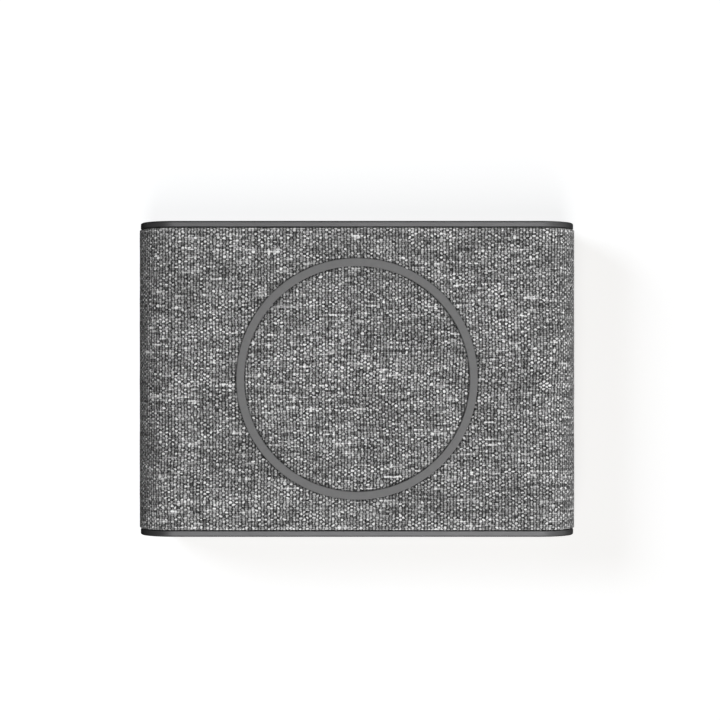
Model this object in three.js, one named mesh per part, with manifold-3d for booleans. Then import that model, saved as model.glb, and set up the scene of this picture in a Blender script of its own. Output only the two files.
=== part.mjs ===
// A portable wireless charging pad: a full-round body wrapped in woven fabric, closed by two end
// plates, with a silicone grip ring on top, a silicone foot ring below, and the battery, coil and
// electronics on a chassis inside. Millimetres: X is the width, Y the depth (front at -Y), Z up.
// The origin is at the middle of the footprint, on the surface that the pad stands on.
import * as THREE from "three";
import { mergeVertices } from "three/addons/utils/BufferGeometryUtils.js";
import Module from "manifold-3d";

const wasm = await Module();
wasm.setup();

// Driving dimensions.
const WIDTH = 110; // over the fabric
const BODY_HEIGHT = 19; // over the fabric, which is also the diameter of the round sides
const DEPTH = 78.6; // over the two end plates
const SLEEVE_LENGTH = 75.3; // of the fabric, front to back
const FABRIC = 0.75;
const TUBE_WALL = 1.5;
const CLEARANCE = 0.3; // between parts that slide or snap together
const SEAT_GAP = 0.1; // between parts that rest on each other or are bonded
const FOOT_PROUD = 0.6; // the foot ring below the fabric
const GRIP_PROUD = 0.4; // the grip ring above the fabric
const GRIP_RING = { inner: 28, outer: 30 }; // radii
const FOOT_RING = { inner: 28, outer: 32 };
const RING_CHANNEL = 0.45; // how deep the fabric is pressed in under a ring
const BUTTON_TRAVEL = 0.4;
const PAST = 1; // how far a cutting shape runs past what it cuts

// Heights and half lengths that follow from them.
const BOTTOM = FOOT_PROUD;
const TOP = BOTTOM + BODY_HEIGHT;
const MIDDLE = BOTTOM + BODY_HEIGHT / 2;
const SLEEVE_END = SLEEVE_LENGTH / 2;
const PLATE_FACE = DEPTH / 2;
const PLATE_BACK = SLEEVE_END + CLEARANCE;
const TUBE_INSET = FABRIC + SEAT_GAP;
const TUBE_END = SLEEVE_END - TUBE_INSET;
const BORE_INSET = TUBE_INSET + TUBE_WALL; // from the fabric's outside to the tube's inside
const BORE_FLOOR = BOTTOM + BORE_INSET;

// How finely round stretches are cut.
const SIDE_STEPS = 12;
const CORNER_STEPS = 4;
const RING_STEPS = 64;
const SMALL_STEPS = 16;
const SCREW_STEPS = 12;

const pad = new THREE.Group();
pad.name = "wireless_charging_pad";

const finish = (color, roughness, metalness = 0) =>
  new THREE.MeshStandardMaterial({ color, roughness, metalness });

const FABRIC_GREY = finish(0x7a7a7a, 0.95);
const SILICONE_GREY = finish(0x767676, 0.8);
const PLATE_GREY = finish(0x757575, 0.6);
const SHELL_BLACK = finish(0x26272a, 0.65);
const CHASSIS_BLACK = finish(0x303234, 0.7);
const BOARD_GREEN = finish(0x1d4a33, 0.5);
const STEEL = finish(0xb9bbbd, 0.3, 1);
const COPPER = finish(0xb5683a, 0.35, 1);
const FERRITE = finish(0x3c3a3d, 0.75);
const CHIP_BLACK = finish(0x1b1b1d, 0.45);
const CERAMIC_TAN = finish(0xa98a6a, 0.6);
const CELL_FOIL = finish(0xc4c7ca, 0.4, 0.8);
const FOAM_BLACK = finish(0x2b2b2b, 0.95);
const TONGUE_BLACK = finish(0x202022, 0.5);
const TONGUE_WHITE = finish(0xe9e9e6, 0.5);
const CLEAR = finish(0xe8ecef, 0.15);
const LED_WHITE = finish(0xf2f0dc, 0.3);
const FILM_AMBER = finish(0xc98a2b, 0.3);
const WIRE_RED = finish(0xa62a22, 0.5);
const WIRE_BLACK = finish(0x1f1f1f, 0.5);
const BEAD_BLUE = finish(0x2f5fa0, 0.4);

function place(name, geometry, material, x = 0, y = 0, z = 0) {
  const mesh = new THREE.Mesh(geometry, material);
  mesh.name = name;
  mesh.position.set(x, y, z);
  pad.add(mesh);
}

// Booleans.

function solid(geometry) {
  const bare = geometry.clone();
  bare.deleteAttribute("normal");
  bare.deleteAttribute("uv");
  const merged = mergeVertices(bare);
  return new wasm.Manifold(
    new wasm.Mesh({
      numProp: 3,
      vertProperties: new Float32Array(merged.attributes.position.array),
      triVerts: new Uint32Array(merged.index.array),
    }),
  );
}

function surface(manifold) {
  const mesh = manifold.getMesh();
  const geometry = new THREE.BufferGeometry();
  geometry.setAttribute("position", new THREE.BufferAttribute(mesh.vertProperties, 3));
  geometry.setIndex(new THREE.BufferAttribute(mesh.triVerts, 1));
  geometry.computeVertexNormals();
  return geometry;
}

const joined = (first, ...rest) =>
  surface(rest.reduce((whole, g) => whole.add(solid(g)), solid(first)));

const cut = (whole, ...tools) =>
  surface(tools.reduce((left, g) => left.subtract(solid(g)), solid(whole)));

// Shapes.

// A full-round outline, its height the diameter of its two ends.
function fullRound(width, height, Kind = THREE.Shape) {
  const r = height / 2;
  const x = width / 2 - r;
  const outline = new Kind();
  outline.moveTo(-x, -r);
  outline.lineTo(x, -r);
  outline.absarc(x, 0, r, -Math.PI / 2, Math.PI / 2, false);
  outline.lineTo(-x, r);
  outline.absarc(-x, 0, r, Math.PI / 2, Math.PI * 1.5, false);
  outline.closePath();
  return outline;
}

// The body's outline, moved in by an inset.
const bodyOutline = (inset, Kind) =>
  fullRound(WIDTH - 2 * inset, BODY_HEIGHT - 2 * inset, Kind);

function roundedRectangle(width, height, r) {
  const x = width / 2;
  const y = height / 2;
  const outline = new THREE.Shape();
  outline.moveTo(-x + r, -y);
  outline.lineTo(x - r, -y);
  outline.absarc(x - r, -y + r, r, -Math.PI / 2, 0, false);
  outline.lineTo(x, y - r);
  outline.absarc(x - r, y - r, r, 0, Math.PI / 2, false);
  outline.lineTo(-x + r, y);
  outline.absarc(-x + r, y - r, r, Math.PI / 2, Math.PI, false);
  outline.lineTo(-x, -y + r);
  outline.absarc(-x + r, -y + r, r, Math.PI, Math.PI * 1.5, false);
  return outline;
}

// An outline drawn in X and Z, extruded along Y from one end to the other. A bevel stays inside it.
function alongY(outline, from, to, { x = 0, z = MIDDLE, bevel = 0, steps = SIDE_STEPS } = {}) {
  return new THREE.ExtrudeGeometry(outline, {
    depth: to - from - 2 * bevel,
    curveSegments: steps,
    bevelEnabled: bevel > 0,
    bevelThickness: bevel,
    bevelSize: bevel,
    bevelOffset: -bevel,
    bevelSegments: 2,
  })
    .rotateX(Math.PI / 2)
    .translate(x, to - bevel, z);
}

// A rod along Y.
const rod = (r, from, to, x = 0, z = MIDDLE) =>
  new THREE.CylinderGeometry(r, r, to - from, SMALL_STEPS).translate(x, (from + to) / 2, z);

// An upright rod.
const post = (r, low, high, x = 0, y = 0, steps = SMALL_STEPS) =>
  new THREE.CylinderGeometry(r, r, high - low, steps)
    .rotateX(Math.PI / 2)
    .translate(x, y, (low + high) / 2);

// A box between two corners.
const box = (x0, x1, y0, y1, z0, z1) =>
  new THREE.BoxGeometry(x1 - x0, y1 - y0, z1 - z0).translate(
    (x0 + x1) / 2,
    (y0 + y1) / 2,
    (z0 + z1) / 2,
  );

// A profile of [radius, height] points, turned about Z.
const turned = (profile, steps) =>
  new THREE.LatheGeometry(
    profile.map(([r, z]) => new THREE.Vector2(r, z)),
    steps,
  ).rotateX(Math.PI / 2);

// A flat ring about Z, its top or bottom corners broken by a chamfer.
function ring(inner, outer, low, high, chamferLow = 0, chamferHigh = 0) {
  const profile = [
    [inner, low + chamferLow],
    [inner + chamferLow, low],
    [outer - chamferLow, low],
    [outer, low + chamferLow],
    [outer, high - chamferHigh],
    [outer - chamferHigh, high],
    [inner + chamferHigh, high],
    [inner, high - chamferHigh],
    [inner, low + chamferLow],
  ];
  const distinct = profile.filter(
    ([r, z], i) => i === 0 || r !== profile[i - 1][0] || z !== profile[i - 1][1],
  );
  return turned(distinct, RING_STEPS);
}

// A round wire along a smooth curve through points.
function wire(points, r) {
  const path = new THREE.CatmullRomCurve3(points.map((p) => new THREE.Vector3(...p)));
  const section = new THREE.Shape().absarc(0, 0, r, 0, 2 * Math.PI, false);
  return new THREE.ExtrudeGeometry(section, {
    steps: 12,
    curveSegments: 4,
    bevelEnabled: false,
    extrudePath: path,
  });
}

// The body: sleeve, tube and rings.

function fabricSleeve() {
  const hollow = alongY(bodyOutline(FABRIC), -SLEEVE_END + FABRIC, SLEEVE_END - FABRIC);
  // The fabric's ends are folded in over the end faces of the tube.
  const mouth = alongY(bodyOutline(BORE_INSET - CLEARANCE), -PLATE_FACE, PLATE_FACE);
  const channel = ({ inner, outer }, low, high) =>
    ring(inner - SEAT_GAP, outer + SEAT_GAP, low, high);
  return cut(
    alongY(bodyOutline(0), -SLEEVE_END, SLEEVE_END),
    hollow,
    mouth,
    channel(GRIP_RING, TOP - RING_CHANNEL, TOP + PAST),
    channel(FOOT_RING, BOTTOM - PAST, BOTTOM + RING_CHANNEL),
  );
}
place("fabric_sleeve", fabricSleeve(), FABRIC_GREY);

const RING_EDGE = 0.2;
const gripLow = TOP - RING_CHANNEL + SEAT_GAP / 2;
place(
  "grip_ring",
  ring(GRIP_RING.inner, GRIP_RING.outer, gripLow, TOP + GRIP_PROUD, 0, RING_EDGE),
  SILICONE_GREY,
);
const footHigh = BOTTOM + RING_CHANNEL - SEAT_GAP / 2;
place(
  "foot_ring",
  ring(FOOT_RING.inner, FOOT_RING.outer, 0, footHigh, RING_EDGE, 0),
  SILICONE_GREY,
);

// Where the end plates' latches snap into windows in the tube's top and bottom walls.
const LATCH = { x: 32, width: 8, length: 1.4, reach: 0.9, fromEnd: 2.65 };
const WINDOW_PLAY = 0.3;

function coreTube() {
  const windows = [];
  for (const side of [-1, 1]) {
    for (const end of [-1, 1]) {
      const y = end * (PLATE_BACK - LATCH.fromEnd);
      const x = side * LATCH.x;
      const halfWidth = LATCH.width / 2 + WINDOW_PLAY;
      const halfLength = LATCH.length / 2 + WINDOW_PLAY;
      windows.push(
        box(x - halfWidth, x + halfWidth, y - halfLength, y + halfLength, 0, TOP + PAST),
      );
    }
  }
  return cut(
    alongY(bodyOutline(TUBE_INSET), -TUBE_END, TUBE_END),
    alongY(bodyOutline(BORE_INSET), -PLATE_FACE, PLATE_FACE),
    ...windows,
  );
}
place("core_tube", coreTube(), SHELL_BLACK);

// The end plates. Each has a rim that fits in the tube, with four latches.

const PLATE_INSET = 0.3; // the plate's edge inside the fabric's surface
const PLATE_EDGE = 0.35; // its rounded edge
const RIM_WALL = 1.2;
const RIM_LENGTH = 5;
const RIM_INSET = BORE_INSET + CLEARANCE;

function endPlate(side) {
  const spanY = (outline, near, far, bevel = 0) =>
    side < 0 ? alongY(outline, -far, -near, { bevel }) : alongY(outline, near, far, { bevel });
  const rimOutline = bodyOutline(RIM_INSET);
  rimOutline.holes.push(bodyOutline(RIM_INSET + RIM_WALL, THREE.Path));
  const rim = spanY(rimOutline, PLATE_BACK - RIM_LENGTH, PLATE_BACK + PLATE_EDGE);
  const latches = [];
  const rimHigh = BODY_HEIGHT / 2 - RIM_INSET;
  for (const x of [-LATCH.x, LATCH.x]) {
    for (const up of [-1, 1]) {
      const near = MIDDLE + up * (rimHigh - RIM_WALL / 2);
      const far = MIDDLE + up * (rimHigh + LATCH.reach);
      const y = side * (PLATE_BACK - LATCH.fromEnd);
      latches.push(
        box(
          x - LATCH.width / 2,
          x + LATCH.width / 2,
          y - LATCH.length / 2,
          y + LATCH.length / 2,
          Math.min(near, far),
          Math.max(near, far),
        ),
      );
    }
  }
  const plate = spanY(bodyOutline(PLATE_INSET), PLATE_BACK, PLATE_FACE, PLATE_EDGE);
  return joined(plate, rim, ...latches);
}

// What sits in the front plate, from left to right as its face is looked at.
const BUTTON = {
  x: -36,
  r: 3.2,
  flange: 4.2,
  flangeThick: 0.6,
  stem: 1.2,
  recess: 0.1,
  overlap: 0.1, // how far the cap runs into its flange
};
const LIGHTS = { x: -19, spacing: 3, count: 4, r: 0.5 };
const USB_C = {
  x: 0,
  width: 8.94,
  height: 3.26,
  length: 7.35,
  wall: 0.3,
  legWidth: 0.8,
  legLength: 1,
  legInset: 1,
  legFromBack: [1.6, 5.2],
  tongueWidth: 6.6,
  tongueThick: 0.7,
  tongueRecess: 0.8, // the tongue's tip behind the shell's mouth
  rootLength: 1.8, // the thick block that the tongue grows from
};
const USB_A = {
  x: 24,
  width: 13.1,
  height: 5.7,
  length: 14,
  wall: 0.35,
  corner: 0.5,
  innerCorner: 0.3,
  tongueWidth: 11,
  tongueThick: 1.9,
  tongueFromRoof: 0.35,
  tongueRecess: 1,
  rootLength: 2.5,
};
const ROOT_OVERLAP = 1; // how far a tongue runs into its root
const SOCKET_GAP = 0.2;
const SOCKET_RECESS = 0.5; // the sockets' mouths behind the plate's face
const lightX = (i) => LIGHTS.x + (i - (LIGHTS.count - 1) / 2) * LIGHTS.spacing;

function frontPlate() {
  const through = (outline, x) =>
    alongY(outline, -PLATE_FACE - PAST, -PLATE_BACK + PAST, { x, steps: CORNER_STEPS });
  const lightHoles = [];
  for (let i = 0; i < LIGHTS.count; i++) {
    const r = LIGHTS.r + SEAT_GAP;
    lightHoles.push(rod(r, -PLATE_FACE - PAST, -PLATE_BACK + PAST, lightX(i)));
  }
  const usbC = fullRound(USB_C.width + 2 * SOCKET_GAP, USB_C.height + 2 * SOCKET_GAP);
  const usbA = roundedRectangle(
    USB_A.width + 2 * SOCKET_GAP,
    USB_A.height + 2 * SOCKET_GAP,
    USB_A.corner + SOCKET_GAP,
  );
  return cut(
    endPlate(-1),
    rod(BUTTON.r + CLEARANCE, -PLATE_FACE - PAST, -PLATE_BACK + PAST, BUTTON.x),
    through(usbC, USB_C.x),
    through(usbA, USB_A.x),
    ...lightHoles,
  );
}
place("front_plate", frontPlate(), PLATE_GREY);
place("rear_plate", endPlate(1), PLATE_GREY);

// The main board and its sockets. The sockets' middles are at the middle of the front plate.

const BOARD_TOP = MIDDLE - USB_A.height / 2 - SEAT_GAP;
const BOARD = { halfWidth: 46, front: -36.5, back: -21, thick: 1 };
const BOARD_LOW = BOARD_TOP - BOARD.thick;
const ON_BOARD = BOARD_TOP + SEAT_GAP;
const SCREW = {
  shaft: 0.95,
  tip: 0.665, // radius of the blunt tip
  taper: 0.6, // length over which the shaft narrows to its tip
  hole: 1.2,
  head: 1.9,
  crown: 1.425, // radius of the head's flat top
  headHigh: 1.1,
  shoulder: 0.66, // height from which the head rounds in to its top
  recess: 0.8, // radius of the driver's recess
  recessDeep: 0.7,
  length: 4.5,
};
const BOARD_SCREWS = [-41.5, 41.5];
const BOARD_SCREW_Y = -25;
const BOARD_SCREW_LENGTH = 3;

function mainBoard() {
  const holes = BOARD_SCREWS.map((x) =>
    post(SCREW.hole, BOARD_LOW - PAST, BOARD_TOP + PAST, x, BOARD_SCREW_Y),
  );
  return cut(
    box(-BOARD.halfWidth, BOARD.halfWidth, BOARD.front, BOARD.back, BOARD_LOW, BOARD_TOP),
    ...holes,
  );
}
place("main_board", mainBoard(), BOARD_GREEN);

const SOCKET_FRONT = -PLATE_FACE + SOCKET_RECESS;

function usbCShell() {
  const { x, width, height, length, wall, legWidth, legLength, legInset, legFromBack } = USB_C;
  const back = SOCKET_FRONT + length;
  const legs = [];
  for (const side of [-1, 1]) {
    for (const fromBack of legFromBack) {
      // The legs stand under the flat of the shell, clear of its round sides.
      const legX = x + side * (width / 2 - legInset);
      const y = back - fromBack;
      const legTop = MIDDLE - height / 2 + wall;
      legs.push(
        box(legX - legWidth / 2, legX + legWidth / 2, y, y + legLength, ON_BOARD, legTop),
      );
    }
  }
  const at = { x, steps: CORNER_STEPS };
  const tube = cut(
    alongY(fullRound(width, height), SOCKET_FRONT, back, at),
    alongY(fullRound(width - 2 * wall, height - 2 * wall), SOCKET_FRONT - PAST, back - wall, at),
  );
  return joined(tube, ...legs);
}
place("usb_c_shell", usbCShell(), STEEL);

function usbCTongue() {
  const { x, width, height, length, wall, tongueWidth, tongueThick, tongueRecess } = USB_C;
  const back = SOCKET_FRONT + length - wall - SEAT_GAP;
  const rootInset = 2 * (wall + SEAT_GAP);
  const outline = fullRound(width - rootInset, height - rootInset);
  const root = alongY(outline, back - USB_C.rootLength, back, { x, steps: CORNER_STEPS });
  const tongue = box(
    x - tongueWidth / 2,
    x + tongueWidth / 2,
    SOCKET_FRONT + tongueRecess,
    back - ROOT_OVERLAP,
    MIDDLE - tongueThick / 2,
    MIDDLE + tongueThick / 2,
  );
  return joined(root, tongue);
}
place("usb_c_tongue", usbCTongue(), TONGUE_BLACK);

function usbAShell() {
  const { x, width, height, length, wall, corner, innerCorner } = USB_A;
  const back = SOCKET_FRONT + length;
  const at = { x, steps: 2 };
  const inner = roundedRectangle(width - 2 * wall, height - 2 * wall, innerCorner);
  return cut(
    alongY(roundedRectangle(width, height, corner), SOCKET_FRONT, back, at),
    alongY(inner, SOCKET_FRONT - PAST, back - wall, at),
  );
}
place("usb_a_shell", usbAShell(), STEEL);

function usbATongue() {
  const { x, width, height, length, wall, tongueWidth, tongueThick } = USB_A;
  const back = SOCKET_FRONT + length - wall - SEAT_GAP;
  const halfWidth = width / 2 - wall - SEAT_GAP;
  const halfHeight = height / 2 - wall - SEAT_GAP;
  const root = box(
    x - halfWidth,
    x + halfWidth,
    back - USB_A.rootLength,
    back,
    MIDDLE - halfHeight,
    MIDDLE + halfHeight,
  );
  const tongueTop = MIDDLE + halfHeight - USB_A.tongueFromRoof;
  const tongue = box(
    x - tongueWidth / 2,
    x + tongueWidth / 2,
    SOCKET_FRONT + USB_A.tongueRecess,
    back - ROOT_OVERLAP,
    tongueTop - tongueThick,
    tongueTop,
  );
  return joined(root, tongue);
}
place("usb_a_tongue", usbATongue(), TONGUE_WHITE);

// The power button, and the tact switch that it presses.

const FLANGE_FRONT = -PLATE_BACK + SEAT_GAP;
const PLUNGER = { r: 0.8, front: -34.2, back: -31.8 };
const SWITCH = { front: -33.4, back: -29.6, halfWidth: 2.3, top: MIDDLE + 2.3 };

function powerButton() {
  return joined(
    rod(BUTTON.r, -PLATE_FACE + BUTTON.recess, FLANGE_FRONT + BUTTON.overlap, BUTTON.x),
    rod(BUTTON.flange, FLANGE_FRONT, FLANGE_FRONT + BUTTON.flangeThick, BUTTON.x),
    rod(BUTTON.stem, FLANGE_FRONT, PLUNGER.front - SEAT_GAP, BUTTON.x),
  );
}
place("power_button", powerButton(), PLATE_GREY);
place("switch_plunger", rod(PLUNGER.r, PLUNGER.front, PLUNGER.back, BUTTON.x), CHIP_BLACK);

function tactSwitch() {
  const { x } = BUTTON;
  const pocketEnd = PLUNGER.back + BUTTON_TRAVEL + CLEARANCE;
  return cut(
    box(
      x - SWITCH.halfWidth,
      x + SWITCH.halfWidth,
      SWITCH.front,
      SWITCH.back,
      ON_BOARD,
      SWITCH.top,
    ),
    rod(PLUNGER.r + CLEARANCE, SWITCH.front - PAST, pocketEnd, x),
  );
}
place("tact_switch", tactSwitch(), STEEL);

// The four indicator lights and the clear bar that carries them to the plate.

const GUIDE = { thick: 1.3, pastPips: 1.5, overMiddle: 1, pipRecess: 0.1, pipOverlap: 0.2 };
const GUIDE_FRONT = -PLATE_BACK + CLEARANCE;
const GUIDE_BACK = GUIDE_FRONT + GUIDE.thick;
const LED = { halfWidth: 0.8, depth: 0.8, high: 1 };

function lightGuide() {
  const half = ((LIGHTS.count - 1) / 2) * LIGHTS.spacing + GUIDE.pastPips;
  const top = MIDDLE + GUIDE.overMiddle;
  const pips = [];
  for (let i = 0; i < LIGHTS.count; i++) {
    const tip = -PLATE_FACE + GUIDE.pipRecess;
    pips.push(rod(LIGHTS.r, tip, GUIDE_FRONT + GUIDE.pipOverlap, lightX(i)));
  }
  return joined(
    box(LIGHTS.x - half, LIGHTS.x + half, GUIDE_FRONT, GUIDE_BACK, ON_BOARD, top),
    ...pips,
  );
}
place("light_guide", lightGuide(), CLEAR);

for (let i = 0; i < LIGHTS.count; i++) {
  const x = lightX(i);
  const front = GUIDE_BACK + SEAT_GAP;
  place(
    `charge_led_${i + 1}`,
    box(
      x - LED.halfWidth,
      x + LED.halfWidth,
      front,
      front + LED.depth,
      ON_BOARD,
      ON_BOARD + LED.high,
    ),
    LED_WHITE,
  );
}

// What else is on the board: packages as [width, depth, height], each at its middle's x and y.
const CHIP = [5, 5, 0.9];
const SQUARE_INDUCTOR = [6.6, 6.6, 3.6];
const NARROW_INDUCTOR = [6.6, 5, 3.6];
const CAPACITOR = [3.2, 2.5, 2.2];
const CAPACITORS = { x: -31, y: -24.2, spacing: 4.6, count: 4 };

const onBoard = (name, [width, depth, high], x, y, material) =>
  place(
    name,
    box(x - width / 2, x + width / 2, y - depth / 2, y + depth / 2, ON_BOARD, ON_BOARD + high),
    material,
  );
onBoard("charge_controller", CHIP, 10.5, -25.2, CHIP_BLACK);
onBoard("coil_driver", CHIP, -9.5, -25.2, CHIP_BLACK);
onBoard("power_inductor_1", SQUARE_INDUCTOR, 36, -33, FERRITE);
onBoard("power_inductor_2", NARROW_INDUCTOR, -27.5, -30.5, FERRITE);
for (let i = 0; i < CAPACITORS.count; i++) {
  const x = CAPACITORS.x + i * CAPACITORS.spacing;
  onBoard(`resonant_capacitor_${i + 1}`, CAPACITOR, x, CAPACITORS.y, CERAMIC_TAN);
}

// The battery: the cell lies on foam in the chassis, its protection board across its front end.

const CHASSIS_LOW = BORE_FLOOR + CLEARANCE;
const CHASSIS_FLOOR = 1.2;
const FOAM_LOW = CHASSIS_LOW + CHASSIS_FLOOR + SEAT_GAP;
const FOAM = { thick: 0.5, halfWidth: 36, fromEnds: 4 };
const CELL_LOW = FOAM_LOW + FOAM.thick + SEAT_GAP;
const CELL = { halfWidth: 44, front: -15.6, back: 30.4, high: 8, edge: 1.5, endEdge: 0.6 };
const CELL_MIDDLE = CELL_LOW + CELL.high / 2;

function batteryCell() {
  const outline = roundedRectangle(2 * CELL.halfWidth, CELL.high, CELL.edge);
  const rounded = { z: CELL_MIDDLE, bevel: CELL.endEdge, steps: CORNER_STEPS };
  return alongY(outline, CELL.front, CELL.back, rounded);
}
place("battery_cell", batteryCell(), CELL_FOIL);
place(
  "battery_foam",
  box(
    -FOAM.halfWidth,
    FOAM.halfWidth,
    CELL.front + FOAM.fromEnds,
    CELL.back - FOAM.fromEnds,
    FOAM_LOW,
    FOAM_LOW + FOAM.thick,
  ),
  FOAM_BLACK,
);

// The protection board stands on edge, a little in from the cell's top and bottom.
const GUARD = { front: -17.4, thick: 0.8, halfWidth: 20, inset: 1 };
const GUARD_BACK = GUARD.front + GUARD.thick;
place(
  "battery_protection_board",
  box(
    -GUARD.halfWidth,
    GUARD.halfWidth,
    GUARD.front,
    GUARD_BACK,
    CELL_LOW + GUARD.inset,
    CELL_LOW + CELL.high - GUARD.inset,
  ),
  BOARD_GREEN,
);

const TAB = { x: 8, halfWidth: 2.5, thick: 0.3 };
const LEAD = { x: 14, r: 0.6, low: 8.6, high: 9.2 };
[-1, 1].forEach((side, i) => {
  const tabX = side * TAB.x;
  place(
    `battery_tab_${i + 1}`,
    box(
      tabX - TAB.halfWidth,
      tabX + TAB.halfWidth,
      GUARD_BACK + SEAT_GAP,
      CELL.front - SEAT_GAP,
      CELL_MIDDLE - TAB.thick / 2,
      CELL_MIDDLE + TAB.thick / 2,
    ),
    STEEL,
  );
  // Each lead leaves the protection board, runs forward and turns down to the main board.
  const x = side * LEAD.x;
  const route = [
    [x, GUARD.front - CLEARANCE, LEAD.high - 0.2],
    [x, GUARD.front - 1.5, LEAD.high],
    [x, GUARD.front - 3.6, LEAD.high],
    [x, GUARD.front - 4.9, LEAD.low],
    [x, GUARD.front - 5.1, ON_BOARD + CLEARANCE],
  ];
  place(`battery_lead_${i + 1}`, wire(route, LEAD.r), side < 0 ? WIRE_BLACK : WIRE_RED);
});

// The coil stack, over the battery and under the tube's ceiling.

const CARRIER_LOW = CELL_LOW + CELL.high + CLEARANCE;
const CARRIER = { halfWidth: 49.6, halfDepth: 27, thick: 0.8 };
const CARRIER_TOP = CARRIER_LOW + CARRIER.thick;
const CARRIER_NOTCH = { halfWidth: 5, depth: 1.6 };
const FERRITE_DISC = { r: 26, thick: 0.8 };
const FERRITE_LOW = CARRIER_TOP + SEAT_GAP;
const COIL = { inner: 10, outer: 24, thick: 1.2 };
const COIL_LOW = FERRITE_LOW + FERRITE_DISC.thick + SEAT_GAP;
const COIL_MIDDLE = COIL_LOW + COIL.thick / 2;
const FILM = { r: 25, thick: 0.2 };
const FILM_LOW = COIL_LOW + COIL.thick + SEAT_GAP;
const BEAD_R = 0.55;
const CARRIER_SCREW_X = 47.4;
const CARRIER_SCREW_Y = 24;

const corners = [-1, 1].flatMap((sx) => [-1, 1].map((sy) => [sx, sy]));

function coilCarrier() {
  const holes = corners.map(([sx, sy]) =>
    post(
      SCREW.hole,
      CARRIER_LOW - PAST,
      CARRIER_TOP + PAST,
      sx * CARRIER_SCREW_X,
      sy * CARRIER_SCREW_Y,
    ),
  );
  return cut(
    box(
      -CARRIER.halfWidth,
      CARRIER.halfWidth,
      -CARRIER.halfDepth,
      CARRIER.halfDepth,
      CARRIER_LOW,
      CARRIER_TOP,
    ),
    // The notch where the two coil leads go down to the board.
    box(
      -CARRIER_NOTCH.halfWidth,
      CARRIER_NOTCH.halfWidth,
      -CARRIER.halfDepth - PAST,
      -CARRIER.halfDepth + CARRIER_NOTCH.depth,
      CARRIER_LOW - PAST,
      CARRIER_TOP + PAST,
    ),
    ...holes,
  );
}
place("coil_carrier", coilCarrier(), CHASSIS_BLACK);
const disc = ({ r, thick }, low) => post(r, low, low + thick, 0, 0, RING_STEPS);
place("ferrite_disc", disc(FERRITE_DISC, FERRITE_LOW), FERRITE);
place("charging_coil", ring(COIL.inner, COIL.outer, COIL_LOW, COIL_LOW + COIL.thick), COPPER);
place("coil_film", disc(FILM, FILM_LOW), FILM_AMBER);
const bead = new THREE.SphereGeometry(BEAD_R, SCREW_STEPS, 8).translate(0, 0, COIL_MIDDLE);
place("coil_thermistor", bead, BEAD_BLUE);

const COIL_LEAD = { x: 3, r: 0.45, edge: -26.4, shoulder: -27.6, drop: -27.9, dropFrom: 12 };
[-1, 1].forEach((side, i) => {
  // Each lead runs off the ferrite's edge and down through the carrier's notch to the board.
  const x = side * COIL_LEAD.x;
  const route = [
    [x, -COIL.outer - CLEARANCE, COIL_MIDDLE],
    [x, COIL_LEAD.edge, COIL_MIDDLE - 0.1],
    [x, COIL_LEAD.shoulder, COIL_MIDDLE - 1.6],
    [x, COIL_LEAD.drop, COIL_LEAD.dropFrom],
    [x, COIL_LEAD.drop, ON_BOARD + CLEARANCE],
  ];
  place(`coil_lead_${i + 1}`, wire(route, COIL_LEAD.r), COPPER);
});

// The chassis: a tray for the cell, with rails that run in the tube's round sides and posts for the
// coil carrier and the main board.

const CHASSIS = {
  halfWidth: 46,
  end: 32.3,
  wall: 1.2,
  sideTop: 12,
  backTop: 10,
  ribTop: 7.2,
  sideFront: -20.2,
  railHalf: 0.6, // half the rail's thickness
  carrierPost: 2.2,
  boardPost: 2.4,
  overlap: 0.2, // how far the walls and posts run into the floor
};

function chassis() {
  const { halfWidth, end, wall, sideFront, railHalf, carrierPost, boardPost } = CHASSIS;
  const floorTop = CHASSIS_LOW + CHASSIS_FLOOR;
  const foot = floorTop - CHASSIS.overlap;
  const inside = CELL.halfWidth + CLEARANCE;
  const outside = inside + wall;
  const backWall = CELL.back + CLEARANCE;
  const ribBack = GUARD.front - CLEARANCE;
  const railLow = MIDDLE - railHalf;
  const railHigh = MIDDLE + railHalf;
  const railOut = WIDTH / 2 - BORE_INSET - CLEARANCE;
  const parts = [
    box(-halfWidth, halfWidth, -end, end, CHASSIS_LOW, floorTop),
    box(-inside, inside, backWall, backWall + wall, foot, CHASSIS.backTop),
    box(-outside, outside, ribBack - wall, ribBack, foot, CHASSIS.ribTop),
  ];
  for (const side of [-1, 1]) {
    const across = (near, far, y0, y1, z0, z1) =>
      side < 0 ? box(-far, -near, y0, y1, z0, z1) : box(near, far, y0, y1, z0, z1);
    // The side wall, its rail, and the rail's front end, which carries the front post.
    parts.push(across(inside, outside, sideFront, end, foot, CHASSIS.sideTop));
    const railFront = -CARRIER_SCREW_Y - carrierPost;
    parts.push(across(inside + wall / 2, railOut, railFront, end, railLow, railHigh));
  }
  const pilots = [];
  for (const [sx, sy] of corners) {
    const x = sx * CARRIER_SCREW_X;
    const y = sy * CARRIER_SCREW_Y;
    parts.push(post(carrierPost, railLow, CARRIER_LOW - SEAT_GAP, x, y));
    pilots.push(post(SCREW.hole, CARRIER_LOW - SCREW.length, CARRIER_LOW + PAST, x, y));
  }
  for (const x of BOARD_SCREWS) {
    parts.push(post(boardPost, foot, BOARD_LOW - SEAT_GAP, x, BOARD_SCREW_Y));
    pilots.push(post(SCREW.hole, CHASSIS_LOW - PAST, BOARD_LOW + PAST, x, BOARD_SCREW_Y));
  }
  return cut(joined(...parts), ...pilots);
}
place("chassis", chassis(), CHASSIS_BLACK);

// Pan-head screws with the driver's recess drawn as a cone, standing on the face that they clamp.

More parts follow.
